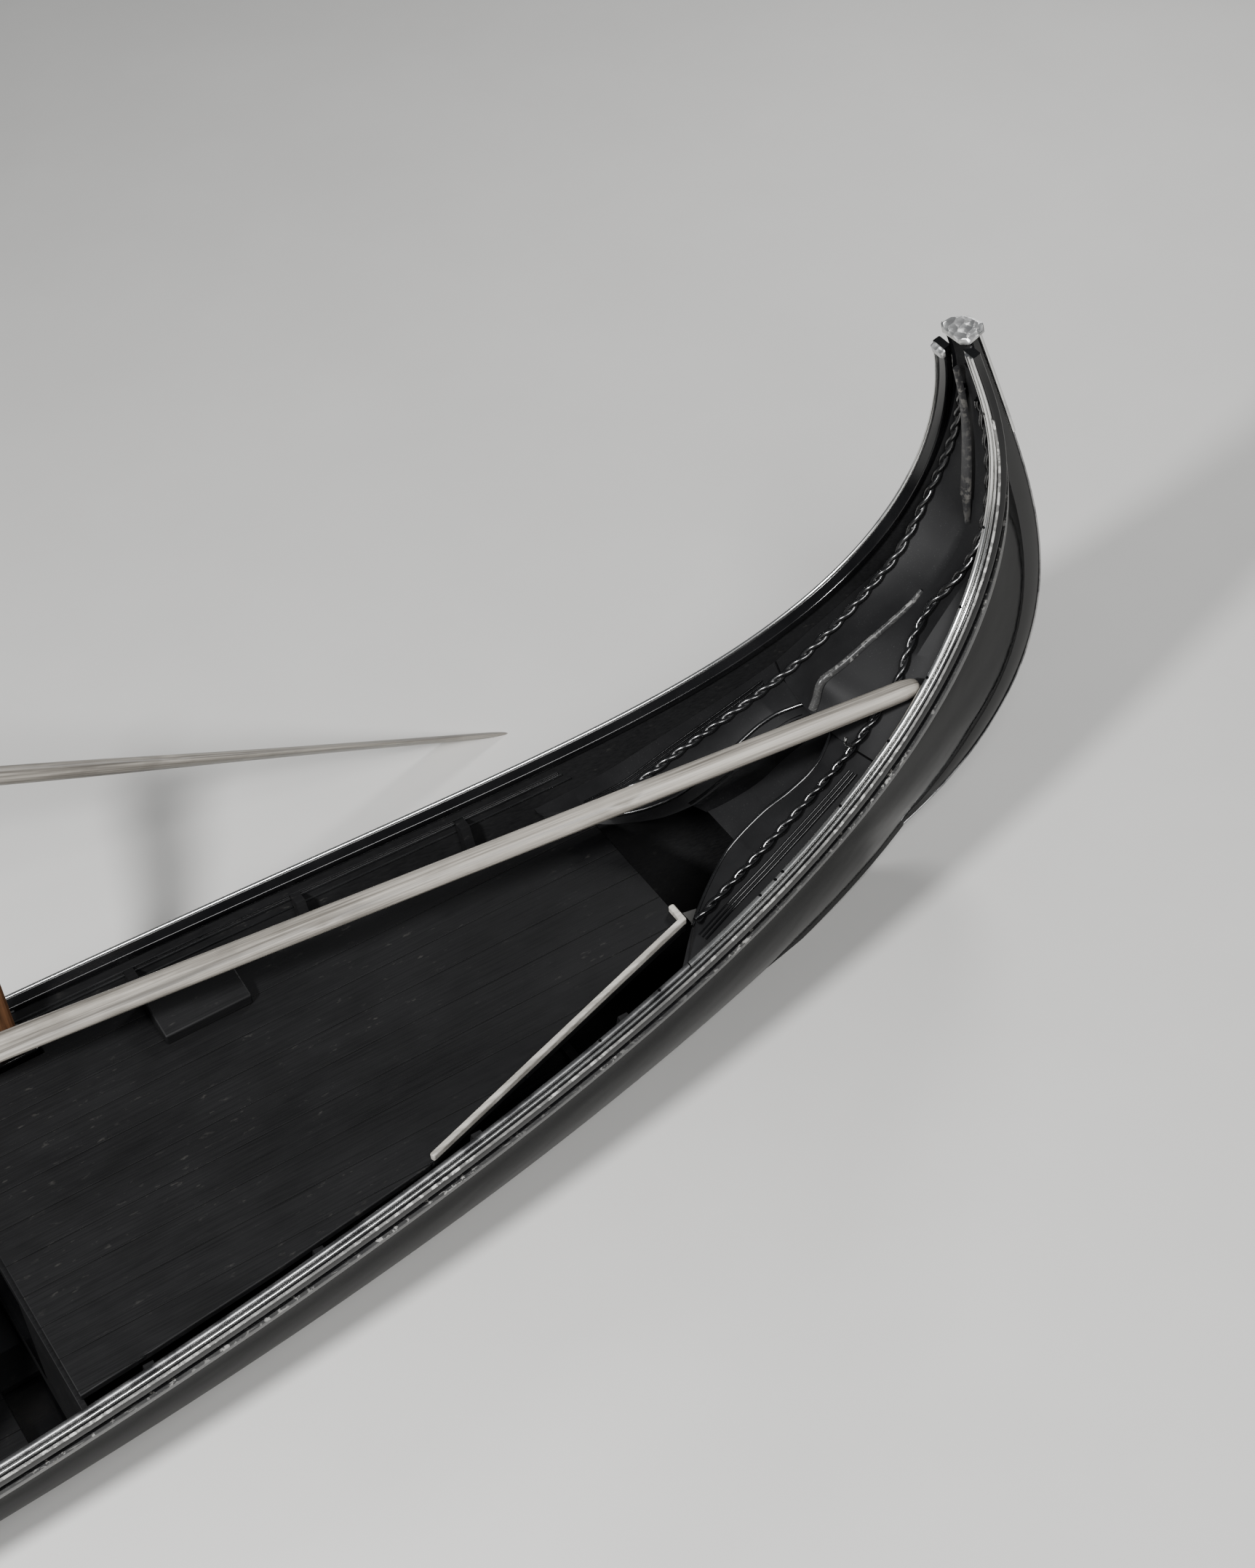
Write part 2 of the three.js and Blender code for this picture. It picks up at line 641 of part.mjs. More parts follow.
// A rope moulding on a deck, above the corner of its section
function ropeMoulding(end, deck, side, fromShare, toRun) {
  const places = finePlaces(end, fromShare, shareOfRun(end, toRun));
  const ups = places.map(({ share }) => railUp(end, share));
  const path = places.map(({ share }, k) => {
    const { inset, rope, ridge } = deckDrops(deck, end, share);
    const lean = side > 0 ? tableAt(deck.portLean, along(end.railPoints, share).run)[1] : 0;
    return insideAt(end, share, side, rope, inset).lerp(ridgeAt(end, share, ridge), lean)
      .addScaledVector(ups[k], ROPE.radius + ROPE.lift + ROPE.leanLift * lean);
  });
  return sweep(path, ups, circle(ROPE.radius, 8));
}

const deckSides = [['port', 1], ['starboard', -1]];
piece('stern_deck', gabledDeck(STERN, DECKS.stern), 'lacquer');
piece('stern_deck_front', deckFront(), 'lacquer');
piece('stern_well_deck',
  flatDeck(STERN, WELL_DECK.fromRun, WELL_DECK.frontRun, WELL_DECK.drop), 'lacquer');
piece('horn_spine', hornSpine(), 'lacquerWorn');
piece('bow_deck', gabledDeck(BOW, DECKS.bow), 'lacquer');
for (const [name, side] of deckSides) {
  piece(`stern_rope_${name}`, ropeMoulding(STERN, DECKS.stern, side, ROPE.from, ROPE.sternTo), 'lacquer');
  piece(`stern_side_deck_${name}`, joined(sideDeck(side), coaming(side)), 'lacquer');
  piece(`bow_rope_${name}`, ropeMoulding(BOW, DECKS.bow, side, ROPE.from, DECKS.bow.frontRun), 'lacquer');
}

// Inside of the hull

// The height of the keel profile's outside over a world X
function keelHeight(x) {
  const end = x < 0 ? STERN : BOW;
  const share = shareAt(end.keelPoints, end.half - end.sign * x);
  return along(end.keelPoints, share).z;
}

function railHeight(x) {
  const end = x < 0 ? STERN : BOW;
  return along(end.railPoints, shareAt(end.railPoints, end.half - end.sign * x)).z;
}

// The Y of the inside of one side at a world X and height z
function insideY(x, side, z, gap) {
  const end = x < 0 ? STERN : BOW;
  const profile = Array.from({ length: 9 }, (_, k) => {
    let [low, high] = [0.15, 1];
    for (let step = 0; step < 30; step++) {
      const middle = (low + high) / 2;
      if (sideAt(end, middle, side, k / 8).x * end.sign > x * end.sign) low = middle;
      else high = middle;
    }
    return sideAt(end, low, side, k / 8, SIDE_THICK + gap);
  });
  const k = clamp(profile.findIndex((point) => point.z > z), 1, 8);
  const [below, above] = profile[k].z > z ? [profile[k - 1], profile[k]] : [profile[7], profile[8]];
  return lerp(below.y, above.y, (z - below.z) / (above.z - below.z));
}

// The outline of a panel that fills the hull between two heights, read at the narrower face
function crossOutline(x, zLow, zHigh, gap) {
  const heights = [0, 0.35, 0.7, 1].map((part) => lerp(zLow, zHigh, part));
  return [
    ...heights.map((z) => [insideY(x, 1, z, gap), z]),
    ...heights.toReversed().map((z) => [insideY(x, -1, z, gap), z]),
  ];
}

const framePositions = [];
for (let x = FRAMES.first; x <= FRAMES.last; x += FRAMES.spacing) framePositions.push(x);

// The section of one frame on one side, or with side = 0 its floor timber
function framePlate(x, side) {
  const narrow = x + Math.sign(x) * FRAMES.thick / 2;
  const low = Math.max(keelHeight(narrow), keelHeight(x)) + BOTTOM_THICK + 1;
  const high = railHeight(x) - RAIL.below - FRAMES.belowRail;
  const top = low + FRAMES.floor;
  const edge = (side_, z) => [insideY(narrow, side_, z, FRAMES.gap), z];
  const floor = [edge(-1, low), edge(1, low), edge(1, top), edge(-1, top)];
  const heights = [0, 0.33, 0.67, 1].map((part) => lerp(top + TOUCH, high, part));
  const outer = heights.map((z) => edge(side, z));
  const inner = heights.toReversed().map((z) => [edge(side, z)[0] - side * FRAMES.moulded, z]);
  return crossPlate(side ? [...outer, ...inner] : floor, x - FRAMES.thick / 2, FRAMES.thick);
}

// The floor timbers, joined by the keelson that they are let into
function floorTimbers() {
  const count = 26;
  const path = Array.from({ length: count + 1 }, (_, k) => {
    const x = lerp(FRAMES.first - KEELSON.beyond, FRAMES.last + KEELSON.beyond, k / count);
    const end = x < 0 ? STERN : BOW;
    const y = centreOffset(end, end.half - end.sign * x);
    return new THREE.Vector3(x, y, keelHeight(x) + BOTTOM_THICK + 1);
  });
  const { half, high } = KEELSON;
  const keelson = sweep(path, path.map(() => UP), [[-half, 0], [half, 0], [half, high], [-half, high]]);
  return joined(keelson, ...framePositions.map((x) => framePlate(x, 0)));
}

// The section of the stringer on one side at a world X, grown by `extra`
function stringerRing(x, side, extra = 0) {
  const z = railHeight(x) - RAIL.below - STRINGER.drop;
  return [[0, 0], [1, 0], [1, 1], [0, 1]].map(([deep, low]) => {
    const level = z + extra - low * (STRINGER.high + 2 * extra);
    const inset = deep * (STRINGER.thick + 2 * extra) - extra;
    return new THREE.Vector3(x, insideY(x, side, level, STRINGER.gap) - side * inset, level);
  });
}

// The side frames of one side, joined by the stringer that runs along them
function sideFrames(side) {
  const count = 20;
  const rings = Array.from({ length: count + 1 }, (_, k) =>
    stringerRing(lerp(FRAMES.first - KEELSON.beyond, FRAMES.last + KEELSON.beyond, k / count), side));
  return joined(loft(rings, quadOutline), ...framePositions.map((x) => framePlate(x, side)));
}

function floorboards() {
  const count = 12;
  const rings = Array.from({ length: count + 1 }, (_, k) => {
    const x = lerp(FLOOR.from, FLOOR.to, k / count);
    const low = keelHeight(x) + BOTTOM_THICK + FRAMES.floor + 3;
    return [[1, 0], [-1, 0], [-1, 1], [1, 1]].map(([side, top]) => new THREE.Vector3(
      x, insideY(x, side, low, 7) - side * (FRAMES.moulded + 10), low + top * FLOOR.thick));
  });
  return loft(rings, quadOutline);
}

piece('floor_timbers', floorTimbers(), 'interior');
for (const [name, side] of [['port', 1], ['starboard', -1]]) {
  piece(`side_frames_${name}`, sideFrames(side), 'interior');
}
piece('floorboards', floorboards(), 'interior');

// Bulkheads with a locker door each, under the aft platform and under the bow deck

function bulkhead(x, zLow, zHigh, door) {
  const narrow = x + Math.sign(x) * BULKHEAD_THICK;
  const plate = crossPlate(crossOutline(narrow, zLow, zHigh, 8), x - BULKHEAD_THICK / 2, BULKHEAD_THICK);
  const opening = box([x - BULKHEAD_THICK, door.y0, door.z0], [x + BULKHEAD_THICK, door.y1, door.z1]);
  const notches = Math.abs(x) < Math.abs(FRAMES.last) ? [1, -1].map((side) => loft(
    [x - BULKHEAD_THICK, x + BULKHEAD_THICK].map((at) => stringerRing(at, side, STRINGER.notch)),
    quadOutline)) : [];
  return cut(plate, opening, ...notches);
}

function doorPanel(x, door) {
  const [gap, half] = [DOOR.gap, DOOR.thick / 2];
  const panel = box([x - half, door.y0 + gap, door.z0 + gap], [x + half, door.y1 - gap, door.z1 - gap]);
  const knobY = door.y0 + 50;
  const knob = new THREE.SphereGeometry(13, 10, 6).scale(0.9, 1, 1)
    .translate(x + door.faces * (half + 8), knobY, (door.z0 + door.z1) / 2);
  return joined(panel, knob);
}

const DOOR = { gap: 6, thick: 18 };
const AFT_DOOR = { y0: -70, y1: 300, z0: 170, z1: 520, faces: 1 };
const FORE_DOOR = { y0: -120, y1: 210, z0: 230, z1: 540, faces: -1 };
piece('aft_bulkhead', bulkhead(AFT_BULKHEAD_X, 108, 556, AFT_DOOR), 'lacquer');
piece('aft_locker_door', doorPanel(AFT_BULKHEAD_X, AFT_DOOR), 'lacquer');
piece('fore_bulkhead', bulkhead(FORE_BULKHEAD_X, 190, 600, FORE_DOOR), 'lacquer');
piece('fore_locker_door', doorPanel(FORE_BULKHEAD_X, FORE_DOOR), 'lacquer');

// The oarsman's platform, whose port edge is a straight board that runs out to the side
const PLATFORM_EDGE = { aft: [-3850, 245], fore: [-2860, 565], clear: 58, strip: [16, 24] };

function platformBoards() {
  const clearY = (x, side) => insideY(x, side, PLATFORM.z, 7) - side * PLATFORM_EDGE.clear;
  const port = [-2400, -1980, PLATFORM.to].map((x) => [x, clearY(x, 1)]);
  const starboard = [PLATFORM.to, -2600, -3300, PLATFORM.from].map((x) => [x, clearY(x, -1)]);
  const outline = [PLATFORM_EDGE.aft, PLATFORM_EDGE.fore, ...port, ...starboard];
  const boards = flatPlate(outline, PLATFORM.z, PLATFORM.thick);
  const { x0, x1, inner } = BLOCK;
  return cut(boards, box([x0 - 8, -600, PLATFORM.z - 20], [x1 + 8, inner + 8, PLATFORM.z + 40]));
}

function platformEdgeStrip() {
  const [[x0, y0], [x1, y1]] = [PLATFORM_EDGE.aft, PLATFORM_EDGE.fore];
  const z = PLATFORM.z + PLATFORM.thick + TOUCH;
  const [width, height] = PLATFORM_EDGE.strip;
  const half = width / 2;
  const path = [[x0 + 4, y0 - half], [x1 - 20, y1 - half - 2]].map(([x, y]) => new THREE.Vector3(x, y, z));
  const strip = sweep(path, [UP, UP], [[-half, 0], [half, 0], [half, height], [-half, height]]);
  const lug = box([x0 - 6, y0 - 70, z], [x0 + 12, y0, z + height]);
  return joined(strip, lug);
}

piece('platform', platformBoards(), 'interior');
piece('platform_edge_strip', platformEdgeStrip(), 'oak');
piece('foot_block', crossPlate(
  [[0, 0], [180, 0], [180, 34], [0, 70]].map(([y, z]) => [y - 380, z + PLATFORM.z + PLATFORM.thick + TOUCH]),
  -2740, 260), 'lacquerWorn');

// Seats
const SEAT = { x0: -1240, x1: -720, y0: -250, y1: 490, base: 330, cushion: 80 };
const floorTop = (x) => keelHeight(x) + BOTTOM_THICK + FRAMES.floor + 3 + FLOOR.thick + TOUCH;

function seatBase() {
  const [x0, x1] = [SEAT.x0, SEAT.x1];
  return box([x0, SEAT.y0, floorTop(x0) + 2], [x1, SEAT.y1, SEAT.base]);
}

function seatBack(thick, shrink) {
  const middle = (SEAT.y0 + SEAT.y1) / 2;
  const half = (SEAT.y1 - SEAT.y0) / 2 + 20 - shrink;
  const crown = 240 - shrink;
  const arc = Array.from({ length: 13 }, (_, k) => {
    const angle = Math.PI * k / 12;
    return [middle + half * Math.cos(angle), 640 + crown * Math.sin(angle)];
  });
  const low = SEAT.base + 60 + shrink;
  return crossPlate([[middle - half, low], [middle + half, low], ...arc], 0, thick);
}

const BACK = { thick: 26, lean: -9, foot: -1212, pad: 46, padShrink: 36 };
piece('seat_base', seatBase(), 'lacquer');
piece('seat_cushion', box([SEAT.x0 + 10, SEAT.y0 + 10, SEAT.base + 1],
  [SEAT.x1 - 10, SEAT.y1 - 10, SEAT.base + SEAT.cushion]), 'upholstery');
piece('seat_back', seatBack(BACK.thick, 0)
  .translate(-BACK.thick, 0, 0).rotateY(radians(BACK.lean)).translate(BACK.foot, 0, 0), 'lacquer');
piece('seat_back_pad', seatBack(BACK.pad, BACK.padShrink)
  .translate(1, 0, 0).rotateY(radians(BACK.lean)).translate(BACK.foot, 0, 0), 'upholstery');

// Side benches forward of the seat, one along each side, with a cushion each
const BENCH = { x0: -380, x1: 420, deep: 260, top: 300, cushion: 60 };
for (const [name, side] of [['port', 1], ['starboard', -1]]) {
  const low = floorTop(0) + 2;
  const outer = Math.min(...[BENCH.x0, BENCH.x1].map((x) => side * insideY(x, side, low, 7))) - 62;
  const [inner, outside] = [side * (outer - BENCH.deep), side * outer];
  const [y0, y1] = [Math.min(inner, outside), Math.max(inner, outside)];
  piece(`bench_${name}`, box([BENCH.x0, y0, low], [BENCH.x1, y1, BENCH.top]), 'lacquer');
  piece(`bench_cushion_${name}`, box([BENCH.x0 + 8, y0 + 8, BENCH.top + 1],
    [BENCH.x1 - 8, y1 - 8, BENCH.top + BENCH.cushion]), 'upholstery');
}

// A thwart across the forward cockpit
const THWART = { x: 1500, z: 420, wide: 190, thick: 26 };
function thwart() {
  const edge = (x, side) => [x, insideY(x, side, THWART.z, 7) - side * 44];
  const [aft, fore] = [THWART.x, THWART.x + THWART.wide];
  return flatPlate([edge(aft, -1), edge(fore, -1), edge(fore, 1), edge(aft, 1)], THWART.z, THWART.thick);
}
piece('fore_thwart', thwart(), 'lacquer');

// Bow iron: a plate on the stem's face with a curved head, six teeth forward and one aft.
// Its head is described from the stem's tip, as [forward, up] pairs.
const IRON = { thick: 14, strap: 26, gap: 0.8, reachesDownTo: 430, blade: 52 };
const TEETH = { count: 6, long: 108, high: 44, pitch: 64, first: -300 };
const IRON_HEAD = [
  [52, 104], [66, 128], [112, 176], [142, 232], [146, 296], [118, 356], [70, 394], [20, 402],
  [-14, 384], [-22, 352], [2, 336], [34, 300], [36, 250], [12, 214], [-6, 196],
  [-118, 196], [-118, 152], [-2, 152], [-2, 4],
];

function bowIron() {
  const edge = (share, out) => {
    const { s, z, inward } = keelAt(BOW, share);
    return [worldX(BOW, s - inward.s * out), z - inward.z * out];
  };
  const shares = BOW_STATIONS.map(({ share }) => share)
    .filter((share) => keelAt(BOW, share).z > IRON.reachesDownTo);
  const [tipX, tipZ] = edge(0, 0);
  const strapTop = tipZ + TEETH.first - 40;
  const front = shares.map((share) => edge(share, IRON.strap)).filter(([, z]) => z < strapTop);
  const back = shares.toReversed().map((share) => edge(share, IRON.gap));
  const teeth = Array.from({ length: TEETH.count }, (_, k) => TEETH.first + k * TEETH.pitch).flatMap((up) => [
    [IRON.blade, up], [IRON.blade + TEETH.long, up],
    [IRON.blade + TEETH.long, up + TEETH.high], [IRON.blade, up + TEETH.high],
  ]);
  const fromTip = ([forward, up]) => [tipX + forward, tipZ + up];
  const head = [[IRON.blade - 20, TEETH.first - 24], ...teeth, ...IRON_HEAD].map(fromTip);
  const outline = [...front, ...head, ...back];
  return longPlate(outline, centreOffset(BOW, 0), IRON.thick);
}
piece('bow_iron', bowIron(), 'steel');

// Stern fittings: the strap down the back of the post and the faceted cap on the tip
const STERN_STRAP = { half: 34, thick: 8, toStation: 5 };
const STERN_CAP = { gap: 1.5, high: 16, chamfer: 0.84, outline: [
  // across, inward from the rail's centre line
  [-54, -4], [-48, -34], [-16, -66], [36, -76], [58, -62], [62, -10], [40, 6], [-30, 10],
] };

function sternStrap() {
  const rings = Array.from({ length: STERN_STRAP.toStation + 1 }, (_, k) => {
    const { s, z, inward } = keelAt(STERN, stationShare(k));
    return quad.map(([side, outer]) => {
      const out = TOUCH + outer * STERN_STRAP.thick;
      const y = centreOffset(STERN, s) + side * STERN_STRAP.half;
      return new THREE.Vector3(worldX(STERN, s - inward.s * out), y, z - inward.z * out);
    });
  });
  return loft(rings, quadOutline);
}

function sternCap() {
  const { s, z, inward } = along(STERN.railPoints, 0);
  const onward = new THREE.Vector3(-inward.z, 0, inward.s);
  const up = new THREE.Vector3(inward.s, 0, inward.z);
  const foot = new THREE.Vector3(worldX(STERN, s), centreOffset(STERN, s), z);
  const across = new THREE.Vector3(0, 1, 0);
  const rings = [[0, 1], [0.55, 1], [1, STERN_CAP.chamfer]].map(([height, scale]) =>
    STERN_CAP.outline.map(([y, deep]) => foot.clone()
      .addScaledVector(onward, STERN_CAP.gap + height * STERN_CAP.high)
      .addScaledVector(across, y * scale).addScaledVector(up, -16 + (deep + 16) * scale)));
  return loft(rings, STERN_CAP.outline.map(([u, v]) => new THREE.Vector2(u, v)));
}
piece('stern_strap', sternStrap(), 'steel');
piece('stern_cap', sternCap(), 'steel');

// The rowlock, an upright crooked post on the starboard side with an open notch, and its block.
// Its plane stands across the middle of the oar's sweep; u is outboard in that plane.
const NOTCH = new THREE.Vector3(-2020, -800, 1349);
const ROWLOCK = { turn: 16, thick: 56, foot: [-400, -340], footZ: 512 };
const ROWLOCK_OUTLINE = [
  // u, z
  [-400, 512], [-340, 512], [-334, 730], [-290, 850], [-200, 975], [-84, 1085], [36, 1190], [94, 1272],
  [104, 1359], [84, 1375], [57, 1359], [56, 1311], [36, 1297], [-36, 1297], [-56, 1311], [-57, 1385],
  [-74, 1423], [-106, 1415], [-122, 1349], [-156, 1270], [-250, 1180], [-340, 1050], [-388, 890],
];

function inRowlockPlane(points, thick) {
  const geometry = new THREE.ExtrudeGeometry(shapeOf(points), { depth: thick, bevelEnabled: false });
  return geometry.translate(0, 0, -thick / 2).rotateX(Math.PI / 2)
    .rotateZ(radians(ROWLOCK.turn - 90)).translate(NOTCH.x, NOTCH.y, 0);
}

function rowlockBlock() {
  const x = BLOCK.x0;
  const outline = [
    [insideY(x, -1, BLOCK.z0, 9), BLOCK.z0], [BLOCK.inner, BLOCK.z0],
    [BLOCK.inner, BLOCK.z1], [insideY(x, -1, BLOCK.z1, 9), BLOCK.z1],
  ];
  const [u0, u1] = ROWLOCK.foot;
  const { clear } = BLOCK;
  const [low, high] = [ROWLOCK.footZ - clear, BLOCK.z1 + 100];
  const pocket = inRowlockPlane([
    [u0 - clear, low], [u1 + clear, low], [u1 + clear, high], [u0 - clear, high],
  ], ROWLOCK.thick + 2 * clear);
  return cut(crossPlate(outline, BLOCK.x0, BLOCK.x1 - BLOCK.x0), pocket);
}
piece('rowlock', inRowlockPlane(ROWLOCK_OUTLINE, ROWLOCK.thick), 'walnut');
piece('rowlock_block', rowlockBlock(), 'lacquer');

// Oars. Rows along an oar from the handle's end: distance, half width, half thickness.
const OAR_ROWS = [
  [0, 14, 14], [16, 21, 21], [50, 25, 25], [600, 26, 26], [1300, 27, 27], [1900, 27, 27], [2350, 30, 25],
  [2700, 38, 20], [3100, 54, 15], [3700, 68, 11], [4120, 74, 9], [4200, 66, 7],
];
const SPARE = { scale: 4050 / 4200, rows: [
  [0, 13, 13], [18, 25, 25], [50, 30, 29], [900, 33, 30], [1800, 37, 28], [2400, 42, 25], [2900, 50, 20],
  [3400, 61, 15], [3900, 70, 11], [4120, 72, 9], [4200, 64, 7],
] };
const OAR_SIDES = 12;

// An oar from its handle's end along a direction; `wide` is the way its blade is broad
function oar(rows, start, direction, wide, scale) {
  const thin = new THREE.Vector3().crossVectors(direction, wide).normalize();
  const flat = new THREE.Vector3().crossVectors(thin, direction).normalize();
  const rings = rows.map(([distance, halfWide, halfThin]) =>
    Array.from({ length: OAR_SIDES }, (_, k) => {
      const angle = 2 * Math.PI * k / OAR_SIDES;
      return start.clone().addScaledVector(direction, distance * scale)
        .addScaledVector(flat, halfWide * Math.cos(angle))
        .addScaledVector(thin, halfThin * Math.sin(angle));
    }));
  return loft(rings, circle(1, OAR_SIDES).map(([u, v]) => new THREE.Vector2(u, v)));
}

const ENTERS_WATER = new THREE.Vector3(-3910, -1116, 200);
const oarWay = ENTERS_WATER.clone().sub(NOTCH).normalize();
const OAR = { pivotAt: 1680, scale: 1 };
const bladeWay = new THREE.Vector3(0.43, -0.775, -0.46);
const oarHandle = NOTCH.clone().addScaledVector(oarWay, -OAR.pivotAt);
piece('working_oar', oar(OAR_ROWS, oarHandle, oarWay, bladeWay, OAR.scale), 'oak');

const SPARE_HANDLE = new THREE.Vector3(-4640, 240, 1042);
const spareWay = new THREE.Vector3(3936, -787, -392).normalize();
piece('spare_oar',
  oar(SPARE.rows, SPARE_HANDLE, spareWay, new THREE.Vector3(0, 1, 0), SPARE.scale), 'oak');

// Brass finials on the rails beside the seat
const FINIAL = { x: -980, profile: [
  // radius, height
  [0, 0], [24, 0], [24, 8], [12, 16], [10, 40], [20, 62], [14, 84], [7, 100], [11, 118], [0, 130],
] };
for (const [name, side] of [['port', 1], ['starboard', -1]]) {
  const share = shareAt(STERN.railPoints, STERN.half + FINIAL.x);
  const foot = railAt(STERN, share, side);
  const turned = new THREE.LatheGeometry(FINIAL.profile.map(([r, h]) => new THREE.Vector2(r, h)), 12);
  piece(`brass_finial_${name}`, turned.rotateX(Math.PI / 2)
    .translate(foot.x, foot.y + side * 14, foot.z + RAIL.above + TRIM.rise + 2), 'brass');
}

export default boat;
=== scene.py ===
"""The looks of a Venetian gondola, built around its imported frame.

Metres, +X to the bow, +Y to port, +Z up, as in the frame. The boat lies afloat, so the studio's pale
floor is at its waterline, with a hole where the hull goes through it. The planking, rails, decks and
mouldings repeat the frame's own curves at a finer step, so that the gloss runs along them unbroken.
"""
import logging
import math
from collections.abc import Callable
from dataclasses import dataclass, field
from enum import Enum

import bmesh
import bpy
from mathutils import Matrix, Vector
from mathutils.geometry import tessellate_polygon


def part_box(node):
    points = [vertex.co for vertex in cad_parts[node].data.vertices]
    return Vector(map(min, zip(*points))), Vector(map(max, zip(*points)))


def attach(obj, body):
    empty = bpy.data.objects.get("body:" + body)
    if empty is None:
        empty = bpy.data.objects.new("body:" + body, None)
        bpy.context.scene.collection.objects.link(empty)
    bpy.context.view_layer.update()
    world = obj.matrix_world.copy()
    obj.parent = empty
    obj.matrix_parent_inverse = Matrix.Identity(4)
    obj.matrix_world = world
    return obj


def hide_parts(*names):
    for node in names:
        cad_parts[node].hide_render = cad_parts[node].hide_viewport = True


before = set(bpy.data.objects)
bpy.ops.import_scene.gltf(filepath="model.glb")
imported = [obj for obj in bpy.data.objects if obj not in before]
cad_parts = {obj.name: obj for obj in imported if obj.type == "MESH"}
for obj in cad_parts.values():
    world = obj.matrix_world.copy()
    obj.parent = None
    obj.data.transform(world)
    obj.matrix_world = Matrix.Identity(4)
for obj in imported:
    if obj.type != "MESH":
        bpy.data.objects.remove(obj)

log = logging.getLogger("gondola")

Tree, Node, Socket = bpy.types.NodeTree, bpy.types.Node, bpy.types.NodeSocket
Piece, Mesh = bpy.types.Object, bpy.types.Mesh
Points = list[Vector]
Pairs = list[tuple[float, float]]
Row = tuple[float, ...]

UP = Vector((0.0, 0.0, 1.0))
TOUCH = 0.0004  # the gap where two pieces of planking meet
HULL = "hull"  # the body of all but the working oar and the doors
EASED = 38.0  # degrees, from which an edge of a frame's solid is bevelled


class Side(Enum):
    """The two sides of the boat, as the sign of Y."""

    PORT = 1
    STARBOARD = -1

    @property
    def word(self) -> str:
        """The side's name as it ends a piece's name."""
        return self.name.lower()


class Slot(Enum):
    """The material slots."""

    LACQUER = "black_lacquer"
    WORN = "worn_lacquer"
    STEEL = "polished_steel"
    BRASS = "brass"
    PALE_WOOD = "pale_wood"
    WALNUT = "walnut"
    DARK = "dark_interior"
    UPHOLSTERY = "upholstery"


# Small shared tools


def linear(code: str) -> tuple[float, float, float, float]:
    """Turns an sRGB colour into the linear one that shaders use.

    Args:
        code: Six hex digits.

    Returns:
        Red, green, blue and an alpha of 1.
    """
    channels = (int(code[k:k + 2], 16) / 255 for k in (0, 2, 4))
    return (*(c / 12.92 if c <= 0.04045 else ((c + 0.055) / 1.055) ** 2.4 for c in channels), 1.0)


def fill(tree: Tree, node: Node, inputs: dict) -> None:
    """Gives a node's sockets, by name or place, a value or the output that feeds them."""
    for key, value in inputs.items():
        if isinstance(value, Socket):
            tree.links.new(value, node.inputs[key])
        else:
            node.inputs[key].default_value = value


def add(tree: Tree, kind: str, inputs: dict | None = None, **settings) -> Node:
    """Adds a node with its settings, values and links.

    Args:
        tree: A shader or geometry node tree.
        kind: The node's type.
        inputs: Sockets by name or place, each with a value or with the output that feeds it.
        **settings: The node's own properties.

    Returns:
        The new node.
    """
    made = tree.nodes.new(kind)
    for key, value in settings.items():
        setattr(made, key, value)
    fill(tree, made, inputs or {})
    return made


def maths(tree: Tree, operation: str, a: object, b: object = 0.0) -> Socket:
    """Adds arithmetic on one or two numbers."""
    return add(tree, "ShaderNodeMath", {0: a, 1: b}, operation=operation).outputs[0]


def lerp(a: float, b: float, part: float) -> float:
    """Interpolates between two numbers."""
    return a + (b - a) * part


def clamp(value: float, low: float, high: float) -> float:
    """Keeps a number between two others."""
    return min(max(value, low), high)


def table_at(rows: list[Row], key: float) -> list[float]:
    """Interpolates smoothly in a table by its first column.

    Args:
        rows: Rows in the order of their first column.
        key: The place in that column.

    Returns:
        All the columns at that place.
    """
    if key <= rows[0][0]:
        return list(rows[0])
    if key >= rows[-1][0]:
        return list(rows[-1])
    k = next(n for n, row in enumerate(rows) if row[0] > key) - 1
    near = [rows[clamp(n, 0, len(rows) - 1)] for n in (k - 1, k, k + 1, k + 2)]
    span = near[2][0] - near[1][0]
    t = (key - near[1][0]) / span
    values = []
    for column in range(len(rows[0])):
        p0, p1, p2, p3 = (row[column] for row in near)
        slope_in = (p2 - p0) / max(near[2][0] - near[0][0], 1e-6) * span
        slope_out = (p3 - p1) / max(near[3][0] - near[1][0], 1e-6) * span
        limit = 3 * abs(p2 - p1)
        slope_in, slope_out = clamp(slope_in, -limit, limit), clamp(slope_out, -limit, limit)
        values.append(p1 * (2 * t**3 - 3 * t**2 + 1) + slope_in * (t**3 - 2 * t**2 + t)
                      + p2 * (3 * t**2 - 2 * t**3) + slope_out * (t**3 - t**2))
    values[0] = key
    return values


def rounded(corners: Pairs, radius: float, steps: int = 3) -> Pairs:
    """Rounds the corners of a flat outline.

    Args:
        corners: The outline's corners.
        radius: How far from each corner the rounding starts.
        steps: Segments in each rounding.

    Returns:
        The rounded outline.
    """
    made = []
    for k, here in enumerate(corners):
        point = Vector(here)
        before, after = Vector(corners[k - 1]), Vector(corners[(k + 1) % len(corners)])
        reach = min(radius, (before - point).length * 0.45, (after - point).length * 0.45)
        start = point + (before - point).normalized() * reach
        stop = point + (after - point).normalized() * reach
        for n in range(steps + 1):
            t = n / steps
            made.append(tuple(start * (1 - t) ** 2 + point * 2 * t * (1 - t) + stop * t**2))
    return made


def half_round(left: float, right: float, base: float, rise: float, steps: int = 8) -> Pairs:
    """The section of a half-round strip, as (across, up) pairs."""
    middle, half = (left + right) / 2, (right - left) / 2
    arc = [(middle + half * math.cos(math.pi * k / steps), base + rise * math.sin(math.pi * k / steps))
           for k in range(steps + 1)]
    return [*arc, (left, base - 0.0015), (right, base - 0.0015)]


